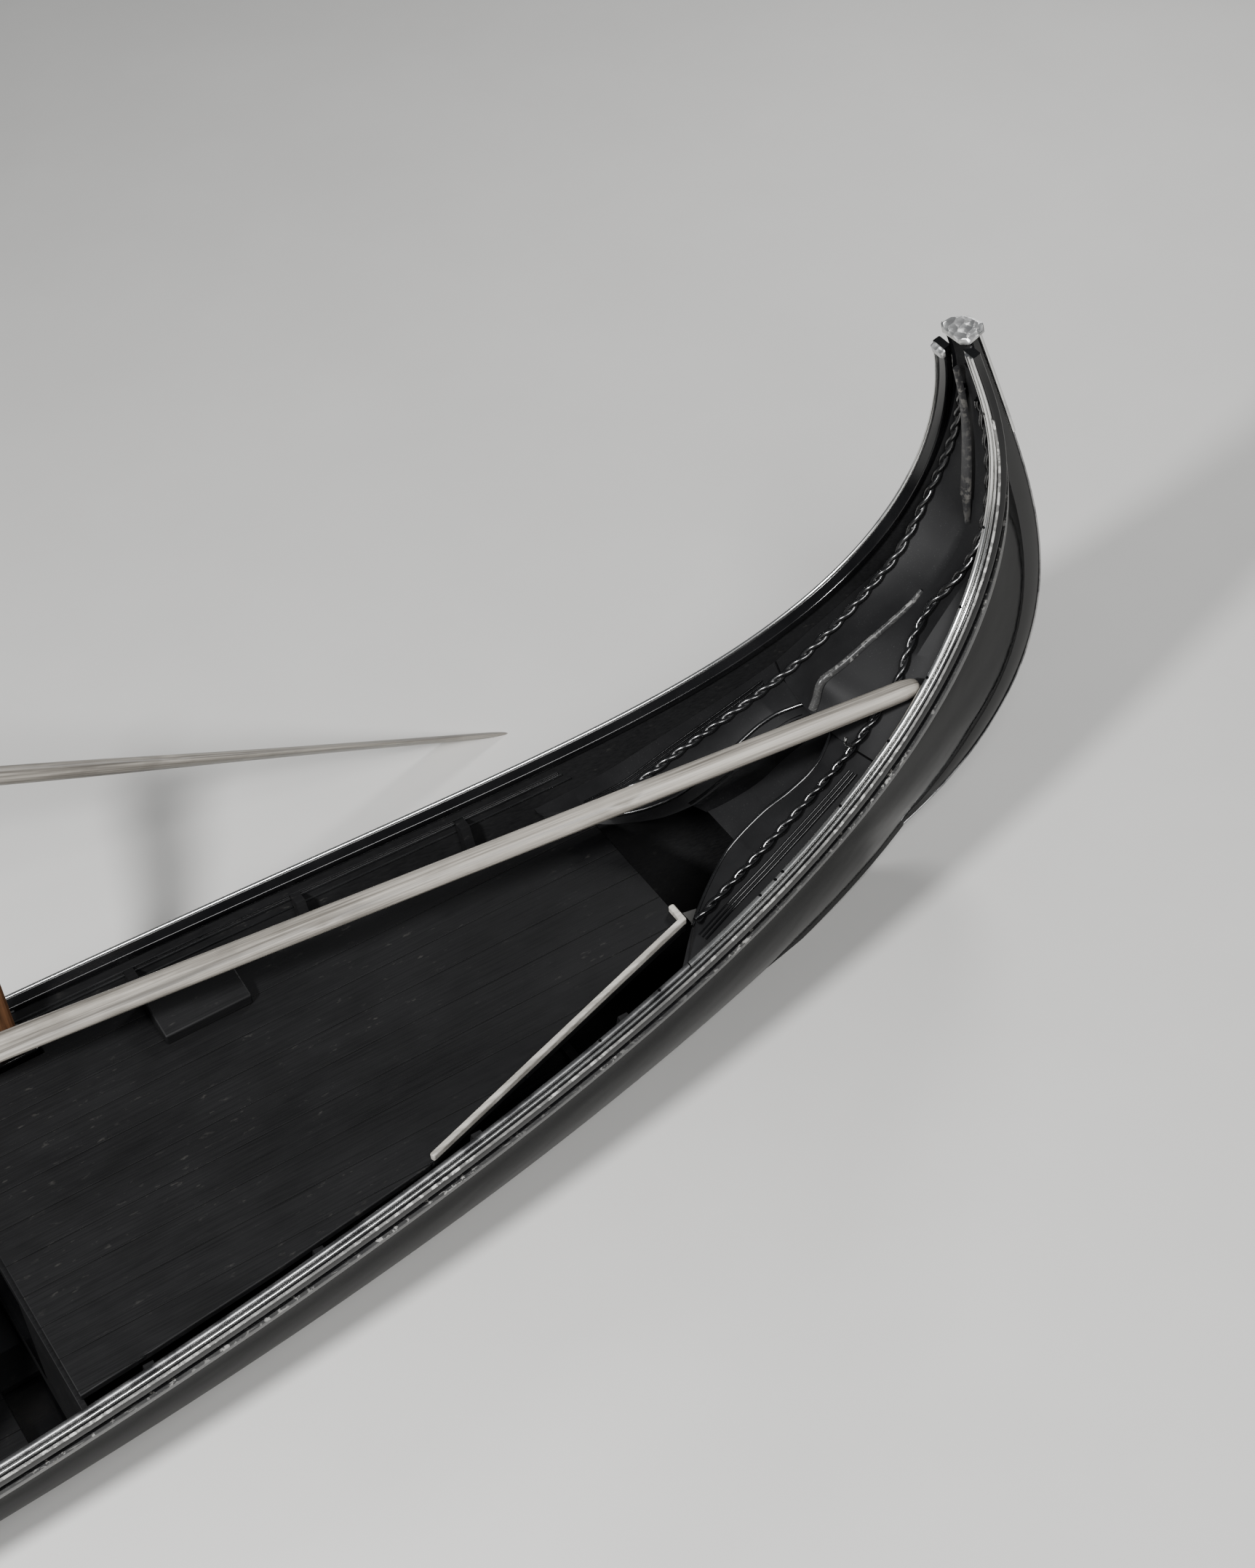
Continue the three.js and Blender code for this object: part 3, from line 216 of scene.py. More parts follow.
def circle(radius: float, count: int) -> Pairs:
    """A round section of that many corners."""
    return [(radius * math.cos(math.tau * k / count), radius * math.sin(math.tau * k / count))
            for k in range(count)]


def loft(name: str, rings: list[Points], capped: bool = True, sharp: float = 40.0) -> Piece:
    """Makes a piece through rings of equal point counts, with a UV map in metres along and around it.

    Args:
        name: The piece's name.
        rings: Closed rings of points, in order.
        capped: Whether the two ends are closed.
        sharp: The angle in degrees from which an edge stays sharp.

    Returns:
        The new object, with its faces outwards.
    """
    count = len(rings[0])
    points = [tuple(point) for ring in rings for point in ring]
    around = [0.0]
    middle = rings[len(rings) // 2]
    for k in range(count):
        around.append(around[-1] + (middle[(k + 1) % count] - middle[k]).length)
    along = [0.0]
    for a, b in zip(rings, rings[1:]):
        along.append(along[-1] + (sum(b, Vector()) - sum(a, Vector())).length / count)
    faces, uvs = [], []
    for r in range(len(rings) - 1):
        for k in range(count):
            n = (k + 1) % count
            faces.append((r * count + k, r * count + n, (r + 1) * count + n, (r + 1) * count + k))
            uvs += [(along[r], around[k]), (along[r], around[k + 1]),
                    (along[r + 1], around[k + 1]), (along[r + 1], around[k])]
    if capped:
        for ring in (0, len(rings) - 1):
            faces.append(tuple(ring * count + k for k in range(count)))
            uvs += [(along[ring] + 0.01 * math.cos(6.28 * k / count), 0.01 * math.sin(6.28 * k / count))
                    for k in range(count)]
    mesh = bpy.data.meshes.new(name)
    mesh.from_pydata(points, [], faces)
    layer = mesh.uv_layers.new(name="along")
    layer.data.foreach_set("uv", [value for pair in uvs for value in pair])
    return finished(name, mesh, sharp)


def enter(name: str, data: bpy.types.ID) -> Piece:
    """Puts a mesh, a camera or a light into the scene as an object."""
    made = bpy.data.objects.new(name, data)
    bpy.context.scene.collection.objects.link(made)
    return made


def smoothed(mesh: Mesh, sharp: float, change: Callable[[bmesh.types.BMesh], object]) -> Mesh:
    """Changes a mesh and shades it smooth.

    Args:
        mesh: The mesh.
        sharp: The angle in degrees from which an edge stays sharp.
        change: What is done to its faces before that.

    Returns:
        The same mesh.
    """
    work = bmesh.new()
    work.from_mesh(mesh)
    change(work)
    for face in work.faces:
        face.smooth = True
    work.to_mesh(mesh)
    work.free()
    mesh.set_sharp_from_angle(angle=math.radians(sharp))
    return mesh


def finished(name: str, mesh: Mesh, sharp: float = 40.0) -> Piece:
    """Puts a mesh into the scene as an object with outward faces and smooth shading."""
    outwards = bmesh.ops.recalc_face_normals
    return enter(name, smoothed(mesh, sharp, lambda work: outwards(work, faces=work.faces)))


def sweep(name: str, path: Points, ups: Points, section: Pairs,
          scales: list[float] | None = None, sharp: float = 40.0) -> Piece:
    """Sweeps a section of (across, up) pairs along a path; across points to starboard on a forward path.

    Args:
        name: The piece's name.
        path: The points of the path.
        ups: The up direction at each point.
        section: The section's outline.
        scales: The section's scale at each point, or None for 1.
        sharp: The angle in degrees from which an edge stays sharp.

    Returns:
        The new object.
    """
    rings = []
    for k, point in enumerate(path):
        tangent = (path[min(k + 1, len(path) - 1)] - path[max(k - 1, 0)]).normalized()
        up = (ups[k] - tangent * ups[k].dot(tangent)).normalized()
        across = tangent.cross(up)
        scale = scales[k] if scales else 1.0
        rings.append([point + across * (u * scale) + up * (v * scale) for u, v in section])
    return loft(name, rings, sharp=sharp)


def place(piece: Piece, finish: "Finish", *nodes: str, slot: Slot | None = None, body: str = HULL) -> None:
    """Dresses a finished piece, hangs it on its body and reports it.

    Args:
        piece: The piece.
        finish: Its finish, where it has none yet.
        *nodes: The frame's nodes that it stands for.
        slot: The material slot for it, where that isn't the finish's usual one; not used.
        body: The body that it rides on.
    """
    if not piece.data.materials:
        piece.data.materials.append(finish.material())
    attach(piece, body)
    if nodes:
        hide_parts(*nodes)
    log.info("%s: %d faces on %s", piece.name, len(piece.data.polygons), body)


def joined(name: str, parts: list[Piece]) -> Piece:
    """Joins several new objects into one piece of that name."""
    with bpy.context.temp_override(active_object=parts[0], selected_editable_objects=parts,
                                   selected_objects=parts):
        bpy.ops.object.join()
    parts[0].name = name
    return parts[0]


# The hull's curves


@dataclass(frozen=True)
class Profile:
    """A curve of the boat's side view, which starts at its tip and levels out amidships."""

    lead: float
    tip_angle: float
    fade: float
    power: float
    far_angle: float
    reach: float


@dataclass
class EndLines:
    """One half of the boat: the traced curves of its rail and keel, and its breadths."""

    sign: int
    half: float
    foot_share: float
    tip: float
    full: float
    power: float
    opening: float
    rail_start: float
    rail_profile: Profile
    keel_start: float
    keel_profile: Profile
    flare: float = 0.0
    flare_run: float = 0.6
    flat_half: float = 1.1
    rail_mid: float = 0.59
    step: float = 0.01
    rail: list[Row] = field(default_factory=list)
    keel: list[Row] = field(default_factory=list)
    foot: float = 0.0

    def __post_init__(self) -> None:
        """Traces both curves once."""
        self.rail = self.trace(self.rail_profile, self.rail_start, self.half, self.rail_mid)
        self.keel = self.trace(self.keel_profile, self.keel_start, self.half - self.flat_half, 0.0)
        while self.keel[-1][0] < self.half:
            s, _, run = self.keel[-1]
            self.keel.append((s + self.step, 0.0, run + self.step))
        self.foot = self.along(self.keel, self.foot_share)[0]

    def trace(self, profile: Profile, start: float, stop: float,
              end_height: float) -> list[Row]:
        """Steps along a profile.

        Args:
            profile: The angles that it follows.
            start: The tip's distance from the end of the boat.
            stop: The distance at which it ends.
            end_height: The height that it ends at.

        Returns:
            Rows of distance from the boat's end, height and run along the curve.
        """
        rows = [(start, 0.0, 0.0)]
        while rows[-1][0] < stop:
            s, z, run = rows[-1]
            past = max(run + self.step / 2 - profile.lead, 0.0)
            levelling = profile.far_angle * max(1 - past / profile.reach, 0.0)
            fading = math.exp(-(past / profile.fade) ** profile.power)
            swing = (profile.tip_angle - profile.far_angle) * fading
            angle = math.radians(levelling + swing)
            rows.append((s + self.step * math.cos(angle), z - self.step * math.sin(angle), run + self.step))
        lift = end_height - rows[-1][1]
        return [(s, z + lift, run) for s, z, run in rows]

    @staticmethod
    def along(rows: list[Row], share: float) -> Row:
        """Finds the distance, height, run and inward normal at a share of a curve's run."""
        spot = clamp(share, 0.0, 1.0) * (len(rows) - 1)
        k = min(int(spot), len(rows) - 2)
        part = spot - k
        low, high = rows[max(k - 1, 0)], rows[min(k + 2, len(rows) - 1)]
        ds, dz = high[0] - low[0], high[1] - low[1]
        length = math.hypot(ds, dz)
        s, z, run = (lerp(rows[k][n], rows[k + 1][n], part) for n in range(3))
        return s, z, run, -dz / length, ds / length

    def world_x(self, s: float) -> float:
        """X of a distance from this end."""
        return self.sign * (self.half - s)

    def share_of_run(self, run: float) -> float:
        """The share at a run along the rail."""
        return run / self.rail[-1][2]

    def run_of(self, share: float) -> float:
        """The run along the rail at a share."""
        return share * self.rail[-1][2]


@dataclass
class HullLines:
    """The curves of the whole hull, which bulges to port while its ends stand on y = 0."""

    bottom_thick: float = 0.022
    bottom_half: float = 0.43
    post_half: float = 0.03
    post_tip: float = 0.028
    post_full: float = 0.06
    side_thick: float = 0.022
    bulge: float = 0.022
    offset: float = 0.126
    rail_below: float = 0.012
    stern: EndLines = field(default_factory=lambda: EndLines(
        -1, 5.43, (11 / 24) ** 1.6, 0.064, 0.655, 2.525, 0.385,
        0.517, Profile(0.0, 108.1, 0.919, 1.528, 6.73, 5.45),
        0.455, Profile(0.12, 108.1, 1.456, 3.253, 11.96, 5.45), flare=0.016))
    bow: EndLines = field(default_factory=lambda: EndLines(
        1, 5.6, (10 / 24) ** 1.6, 0.05, 0.66, 2.45, 0.42,
        0.3, Profile(0.0, 46.0, 0.7, 1.5, 5.6, 5.6),
        0.165, Profile(0.0, 80.0, 0.9, 2.6, 9.2, 5.45)))

    def centre(self, end: EndLines, s: float) -> float:
        """How far the middle line stands to port."""
        away = clamp(1 - s / end.half, 0.0, 1.2)
        return self.offset * max(1 - away**2, 0.0)

    def rail_half(self, end: EndLines, s: float, run: float) -> float:
        """Half the breadth at the rail."""
        away = clamp(1 - s / end.half, 0.0, 1.2)
        extra = end.flare * max(1 - run / end.flare_run, 0.0) ** 2
        return end.tip + extra + end.full * max(1 - away**end.power, 0.0) * run**2 / (run**2 + end.opening**2)

    def low_half(self, end: EndLines, s: float) -> float:
        """Half the breadth of the bottom."""
        away = clamp((end.half - s) / (end.half - end.foot), 0.0, 1.0)
        return self.post_half + (self.bottom_half - self.post_half) * (1 - away**3)

    def rail_at(self, end: EndLines, share: float, side: Side) -> Vector:
        """The rail's centre line on one side."""
        s, z, run, _, _ = end.along(end.rail, share)
        y = self.centre(end, s) + side.value * self.rail_half(end, s, run)
        return Vector((end.world_x(s), y, z))

    def rail_up(self, end: EndLines, share: float) -> Vector:
        """The direction square to the rail in the side view, up amidships."""
        _, _, _, inward_s, inward_z = end.along(end.rail, share)
        return Vector((-end.sign * inward_s, 0.0, inward_z))

    def keel_at(self, end: EndLines, share: float) -> Row:
        """Distance, height, inward normal and depth of the post or the bottom at a share."""
        s, z, run, inward_s, inward_z = end.along(end.keel, share)
        post = lerp(self.post_tip, self.post_full, clamp(run / 0.5, 0.0, 1.0))
        depth = lerp(self.bottom_thick, post, clamp((end.foot - s) / 0.3, 0.0, 1.0))
        return s, z, inward_s, inward_z, depth

    def side_at(self, end: EndLines, share: float, side: Side, part: float, inset: float = 0.0) -> Vector:
        """A point of the side.

        Args:
            end: The half of the boat.
            share: The place along it.
            side: Port or starboard.
            part: 0 at the lower edge and 1 under the rail.
            inset: How far inside the outer face, towards the middle.

        Returns:
            The point.
        """
        ks, kz, in_s, in_z, depth = self.keel_at(end, share)
        low_s, low_z = ks + in_s * (depth + TOUCH), kz + in_z * (depth + TOUCH)
        rs, rz, run, ns, nz = end.along(end.rail, share)
        height = (rs - low_s) * ns + (rz - low_z) * nz
        p = part * (1 - (self.rail_below + 2 * TOUCH) / height)
        low_y = self.centre(end, low_s) + side.value * self.low_half(end, low_s)
        top_y = self.centre(end, rs) + side.value * (self.rail_half(end, rs, run) + self.side_thick / 2)
        bulge = self.bulge * math.sin(math.pi / 2 * min(1.0, share / 0.4)) ** 2
        y = lerp(low_y, top_y, p) + side.value * (bulge * 4 * p * (1 - p) - inset)
        return Vector((end.world_x(lerp(low_s, rs, p)), y, lerp(low_z, rz, p)))

    def part_below(self, end: EndLines, share: float, depth: float) -> float:
        """The part of the side that lies a depth below its top edge."""
        low, top = (self.side_at(end, share, Side.PORT, part) for part in (0.0, 1.0))
        return 1 - depth / (top - low).length

    def inside_at(self, end: EndLines, share: float, side: Side, drop: float, gap: float) -> Vector:
        """A point inside the planking, a drop below the rail's centre line and a gap off its inner face."""
        part = self.part_below(end, share, drop - self.rail_below)
        return self.side_at(end, share, side, part, self.side_thick + gap)

    def middle_at(self, end: EndLines, share: float, drop: float) -> Vector:
        """A point over the middle of the boat, a drop below the rails."""
        port, starboard = (self.inside_at(end, share, side, drop, 0.0) for side in Side)
        return (port + starboard) / 2

    def run_through(self, count: int = 110, skip: float = 0.0, feet: bool = False) -> "Places":
        """Places over the whole boat, from the stern's tip to the bow's, close together at the tips.

        Args:
            count: The number of steps in each half.
            skip: The share that is left out at each tip.
            feet: Whether the places where the post and the stem meet the bottom are among them.

        Returns:
            The places.
        """
        shares = {max((k / count) ** 1.6, skip) for k in range(count + 1)}
        stern = sorted(shares | ({self.stern.foot_share} if feet else set()))
        bow = sorted((shares - {1.0}) | ({self.bow.foot_share} if feet else set()), reverse=True)
        return [*((self.stern, share) for share in stern), *((self.bow, share) for share in bow)]


LINES = HullLines()
STERN, BOW = LINES.stern, LINES.bow
Places = list[tuple[EndLines, float]]


# Finishes


@dataclass(frozen=True)
class Finish:
    """A finish: its material is made once and shared by its pieces."""

    name: str = "finish"
    slot: Slot = Slot.LACQUER

    def material(self) -> bpy.types.Material:
        """Makes the material, or finds it again."""
        found = bpy.data.materials.get(self.name)
        if found:
            return found
        made = bpy.data.materials.new(self.name)
        made.use_nodes = True
        tree = made.node_tree
        tree.nodes.clear()
        shader = add(tree, "ShaderNodeBsdfPrincipled")
        add(tree, "ShaderNodeOutputMaterial", {"Surface": shader.outputs[0]})
        fill(tree, shader, self.paint(tree))
        return made

    def paint(self, tree: Tree) -> dict[str, object]:
        """Adds the finish's own nodes.

        Args:
            tree: The material's nodes.

        Returns:
            The Principled shader's inputs, each with its value or the output that feeds it.
        """
        raise NotImplementedError


def spots(tree: Tree, scale: float | Row, detail: float = 4.0, surface: bool = False,
          shift: float = 0.0) -> Socket:
    """Adds noise on the piece.

    Args:
        tree: The material's nodes.
        scale: Features per metre, for each direction where they differ.
        detail: Octaves of finer noise.
        surface: Reads the piece's own map, along and around it, instead of its place in space.
        shift: Moves the pattern, so that two of them differ.

    Returns:
        The noise, about 0.5 in the mean.
    """
    where = add(tree, "ShaderNodeTexCoord").outputs["UV" if surface else "Object"]
    scales = scale if isinstance(scale, tuple) else (scale,) * 3
    mapped = add(tree, "ShaderNodeMapping", {"Vector": where, "Scale": scales, "Location": (shift,) * 3})
    return add(tree, "ShaderNodeTexNoise", {"Vector": mapped.outputs[0], "Scale": 1.0, "Detail": detail,
                                            "Roughness": 0.6}).outputs[0]


def ranged(tree: Tree, value: Socket, low: float, high: float, to_low: float = 0.0,
           to_high: float = 1.0) -> Socket:
    """Maps a value's range to another, clamped at both ends."""
    return add(tree, "ShaderNodeMapRange", {"Value": value, "From Min": low, "From Max": high,
                                            "To Min": to_low, "To Max": to_high}).outputs[0]


def tinted(tree: Tree, factor: Socket, low: str | Socket, high: str | Socket) -> Socket:
    """Mixes two colours, each a hex code or a socket, by a factor."""
    low, high = (linear(colour) if isinstance(colour, str) else colour for colour in (low, high))
    return add(tree, "ShaderNodeMix", {"Factor": factor, 6: low, 7: high}, data_type="RGBA").outputs[2]


def raised(tree: Tree, height: Socket, depth: float, strength: float = 1.0,
           under: Socket | None = None) -> Socket:
    """Turns a height from 0 to 1 into a bump of a depth in metres, on top of another bump."""
    inputs = {"Height": height, "Distance": depth, "Strength": strength}
    return add(tree, "ShaderNodeBump", inputs | ({"Normal": under} if under else {})).outputs[0]


@dataclass(frozen=True)
class BoatLacquer(Finish):
    """Brushed boat lacquer over planking: a deep gloss with faint waves, brush marks and dust."""

    name: str = "black boat lacquer"
    dark: str = "060607"
    light: str = "101011"
    rough_low: float = 0.09
    rough_high: float = 0.22
    wave: float = 0.0007
    index: float = 1.5
    dusting: float = 0.35

    def paint(self, tree: Tree) -> dict[str, object]:
        """Gloss that varies over blotches of 200 mm, waves of 140 mm and brush marks of 3 mm."""
        blotch = spots(tree, 5)
        dust = ranged(tree, spots(tree, 350, 2), 0.66, 0.8)
        colour = tinted(tree, ranged(tree, blotch, 0.35, 0.65), self.dark, self.light)
        settled = maths(tree, "MULTIPLY", dust, ranged(tree, blotch, 0.4, 0.7, 0, self.dusting))
        waves = raised(tree, spots(tree, 7, 1, shift=3), self.wave)
        return {"Base Color": tinted(tree, settled, colour, "6d6d6b"), "IOR": self.index,
                "Roughness": ranged(tree, blotch, 0.3, 0.7, self.rough_low, self.rough_high),
                "Normal": raised(tree, spots(tree, (12, 300, 300), 2), 0.00004, under=waves)}


@dataclass(frozen=True)
class WornLacquer(Finish):
    """Lacquer where ropes and feet rub it: duller, scratched along the boat, chipped to grey primer."""

    name: str = "rubbed boat lacquer"
    slot: Slot = Slot.WORN
    base: str = "141415"
    bare: str = "7b7974"
    chips: float = 0.6
    rough: float = 0.34

    def paint(self, tree: Tree) -> dict[str, object]:
        """Chips of 8 to 25 mm in patches of 300 mm, and scratches a millimetre wide along the piece."""
        patch = ranged(tree, spots(tree, 3.3, 2, shift=7), 0.42, 0.62)
        chip = ranged(tree, spots(tree, 46, 5), self.chips, self.chips + 0.05)
        scratch = ranged(tree, spots(tree, (9, 420, 420), 2, shift=2), 0.63, 0.72, 0, 0.5)
        worn = maths(tree, "MAXIMUM", maths(tree, "MULTIPLY", chip, patch), scratch)
        shade = tinted(tree, spots(tree, 11), self.base, "232325")
        return {"Base Color": tinted(tree, worn, shade, self.bare),
                "Roughness": ranged(tree, worn, 0, 1, self.rough, 0.58),
                "Normal": raised(tree, maths(tree, "SUBTRACT", 1.0, worn), 0.0003, 0.6)}


@dataclass(frozen=True)
class StripMetal(Finish):
    """Half-round metal strip, polished by hand: bright, streaked along its length, a little tarnished."""

    name: str = "hand polished strip"
    slot: Slot = Slot.STEEL
    bright: str = "e0e0de"
    tarnish: str = "8a8a8c"
    rough_low: float = 0.17
    rough_high: float = 0.31
    tarnish_from: float = 0.58

    def paint(self, tree: Tree) -> dict[str, object]:
        """Streaks 2 mm wide along the strip, tarnish in patches of 90 mm, dents of 30 mm."""
        patch = ranged(tree, spots(tree, 11, 5), self.tarnish_from, self.tarnish_from + 0.16)
        streak = spots(tree, (2, 260, 1), 2, surface=True)
        dull = maths(tree, "MULTIPLY", maths(tree, "MULTIPLY", patch, streak), 1.5)
        dents = raised(tree, spots(tree, 33, 1), 0.0006, 0.5)
        return {"Base Color": tinted(tree, dull, self.bright, self.tarnish), "Metallic": 1.0,
                "Roughness": ranged(tree, streak, 0.3, 0.7, self.rough_low, self.rough_high),
                "Normal": raised(tree, streak, 0.00006, under=dents)}


@dataclass(frozen=True)
class CastMetal(Finish):
    """Forged or cast metal, filed smooth: soft sheen, pits and darker hollows."""

    name: str = "filed steel"
    slot: Slot = Slot.STEEL
    bright: str = "c6c7c6"
    dark: str = "6f7073"
    rough_low: float = 0.2
    rough_high: float = 0.42
    dents: float = 0.0

    def paint(self, tree: Tree) -> dict[str, object]:
        """File marks a millimetre apart, pits of 3 mm, clouds of 60 mm and, where beaten, dents of 30 mm."""
        cloud = spots(tree, 16, 5)
        pits = ranged(tree, spots(tree, 300, 2), 0.3, 0.42, 1, 0)
        marks = raised(tree, spots(tree, (40, 900, 900), 1), 0.00005)
        if self.dents:
            where = add(tree, "ShaderNodeTexCoord").outputs["Object"]
            cells = add(tree, "ShaderNodeTexVoronoi", {"Vector": where, "Scale": 34.0}).outputs[0]
            marks = raised(tree, cells, self.dents, under=marks)
        return {"Base Color": tinted(tree, ranged(tree, cloud, 0.4, 0.7), self.bright, self.dark),
                "Metallic": 1.0,
                "Roughness": ranged(tree, cloud, 0.35, 0.65, self.rough_low, self.rough_high),
                "Normal": raised(tree, maths(tree, "SUBTRACT", 1.0, pits), 0.00025, 0.7, under=marks)}


@dataclass(frozen=True)
class OiledWood(Finish):
    """Planed and oiled wood with its grain along the piece's own map, greyed by sun and hands."""

    name: str = "weathered ramin"
    slot: Slot = Slot.PALE_WOOD
    dark: str = "5b5751"
    light: str = "b5afa5"
    grain: float = 150.0
    rough: float = 0.42
    surface: bool = True
    along: tuple[int, int, int] = (1, 0, 0)

    def paint(self, tree: Tree) -> dict[str, object]:
        """Fibres 6 mm wide, drawn coarse, bands of 35 mm and dark handled patches."""
        def scale(run: float, across: float) -> Row:
            """Features per metre, long in the grain's direction."""
            return tuple(run if axis else across for axis in self.along)

        fibre = spots(tree, scale(2.5, self.grain), 4, self.surface)
        band = spots(tree, scale(0.7, self.grain / 5), 2, self.surface, shift=4)
        dirt = ranged(tree, spots(tree, (4, 9, 9), 4, shift=9), 0.5, 0.72, 0, 0.5)
        wood = tinted(tree, ranged(tree, maths(tree, "ADD", fibre, band), 0.75, 1.25), self.dark, self.light)
        return {"Base Color": tinted(tree, dirt, wood, self.dark),
                "Roughness": ranged(tree, fibre, 0.3, 0.7, self.rough - 0.1, self.rough + 0.14),
                "Normal": raised(tree, fibre, 0.0004, 0.5)}


@dataclass(frozen=True)
class InteriorPaint(Finish):
    """Dull paint inside the hull: brushed and scuffed."""

    name: str = "dull bilge paint"
    slot: Slot = Slot.DARK
    dark: str = "070708"
    light: str = "111112"
    scuff: str = "302f2d"
    rough: float = 0.6
    board: float = 0.0

    def paint(self, tree: Tree) -> dict[str, object]:
        """Clouds of 250 mm, brush marks of 4 mm, scuffs of 20 mm and seams 3 mm wide between boards."""
        cloud = spots(tree, (4, 6, 6), 5)
        brush = spots(tree, (5, 240, 240), 2)
        rubbed = ranged(tree, spots(tree, (22, 55, 55), 4, shift=5), 0.62, 0.72)
        scuff = maths(tree, "MULTIPLY", rubbed, ranged(tree, cloud, 0.45, 0.6))
        shade = tinted(tree, ranged(tree, cloud, 0.35, 0.65), self.dark, self.light)
        marks = raised(tree, brush, 0.00025, 0.6)
        if self.board:
            where = add(tree, "ShaderNodeSeparateXYZ", {0: add(tree, "ShaderNodeTexCoord").outputs["Object"]})
            near = maths(tree, "PINGPONG", where.outputs[1], self.board / 2)
            marks = raised(tree, ranged(tree, near, 0.0004, 0.0022), 0.003, under=marks)
        return {"Base Color": tinted(tree, scuff, shade, self.scuff), "Specular IOR Level": 0.3,
                "Normal": marks,
                "Roughness": ranged(tree, brush, 0.3, 0.7, self.rough - 0.1, self.rough + 0.12)}


@dataclass(frozen=True)
class WovenCloth(Finish):
    """Black woollen cloth in a plain weave; threads are drawn 3 mm apart, coarser than real, to show."""

    name: str = "black woollen cloth"
    slot: Slot = Slot.UPHOLSTERY
    dark: str = "101013"
    light: str = "2c2c31"
    thread: float = 0.003

    def paint(self, tree: Tree) -> dict[str, object]:
        """Warp and weft as crossed bands, with a nap that lightens at the edges."""
        inputs = {"Vector": add(tree, "ShaderNodeTexCoord").outputs["Object"], "Scale": 0.314 / self.thread,
                  "Distortion": 0.6, "Detail": 1.0}
        warp, weft = (add(tree, "ShaderNodeTexWave", inputs, bands_direction=axis).outputs["Fac"]
                      for axis in "XY")
        weave = maths(tree, "MAXIMUM", warp, weft)
        shade = tinted(tree, maths(tree, "MULTIPLY", weave, spots(tree, 14)), self.dark, self.light)
        return {"Base Color": shade, "Normal": raised(tree, weave, 0.0006, 0.6), "Roughness": 0.88,
                "Sheen Weight": 0.35, "Sheen Roughness": 0.4}


@dataclass(frozen=True)
class StudioFloor(Finish):
    """A pale matt floor, very slightly uneven."""

    name: str = "pale studio floor"

    def paint(self, tree: Tree) -> dict[str, object]:
        """Clouds of half a metre, hardly visible."""
        return {"Base Color": tinted(tree, spots(tree, 2), "cfcecb", "d8d7d4"), "Roughness": 0.62}


LACQUER = BoatLacquer()
FLANK = BoatLacquer("black flank lacquer", rough_low=0.05, rough_high=0.11, wave=0.0012, index=1.07,
                    dusting=0.1)
CARVED = BoatLacquer("carved lacquer", rough_low=0.16, rough_high=0.28, wave=0.0002, index=1.85, dusting=0.2)
DECK = BoatLacquer("weathered deck lacquer", dark="151516", light="1b1b1c", rough_low=0.52, rough_high=0.64,
                   wave=0.0002, index=1.32, dusting=0.8)
WORN = WornLacquer()
ROPE_CARVING = (0.115, 2, 0.62)  # a rope's pitch, strands and depth of its hollows
# grey lacquer: on the ridge bead its grey is a painted highlight, on the wale's upper edge it is rubbed wear
RIDGE = WornLacquer("rubbed edge", base="4d4d4c", bare="9b9a97", chips=0.55, rough=0.24)
HEAD_STEEL = CastMetal("faceted head steel", bright="f2f2f0", dark="bcbcbc", rough_low=0.36, rough_high=0.5,
                       dents=0.01)
SPINE = WornLacquer("weathered spine board", base="2c2c2c", bare="5f5d59", chips=0.52, rough=0.5)
CHIPPED = WornLacquer("rubbed rail edge", base="8f8e8b", bare="c9c8c4", chips=0.5, rough=0.3)
STRIP = StripMetal()
DULL_STRIP = StripMetal("dull grey strip", bright="a2a2a2", tarnish="4c4c4e", rough_low=0.26, rough_high=0.46,
                        tarnish_from=0.46)
STEEL = CastMetal()
BRASS = CastMetal("worn brass", bright="c9a45c", dark="6f5730", rough_low=0.18, rough_high=0.4,
                  slot=Slot.BRASS)
OAR_WOOD = OiledWood()
STRIP_WOOD = OiledWood("pale edge wood", dark="8f8b84", light="cdc9c1", surface=False)
WALNUT = OiledWood("oiled walnut", dark="2c1d13", light="6a482f", grain=120, surface=False, along=(0, 0, 1),
                   slot=Slot.WALNUT)
BILGE = InteriorPaint()
BOARDS = InteriorPaint("dull board paint", board=0.112)
CLOTH = WovenCloth()
CORD = WovenCloth("cord piping", dark="1b1b1e", light="3c3c42", thread=0.0015)


# Geometry node trees for what repeats or follows a path


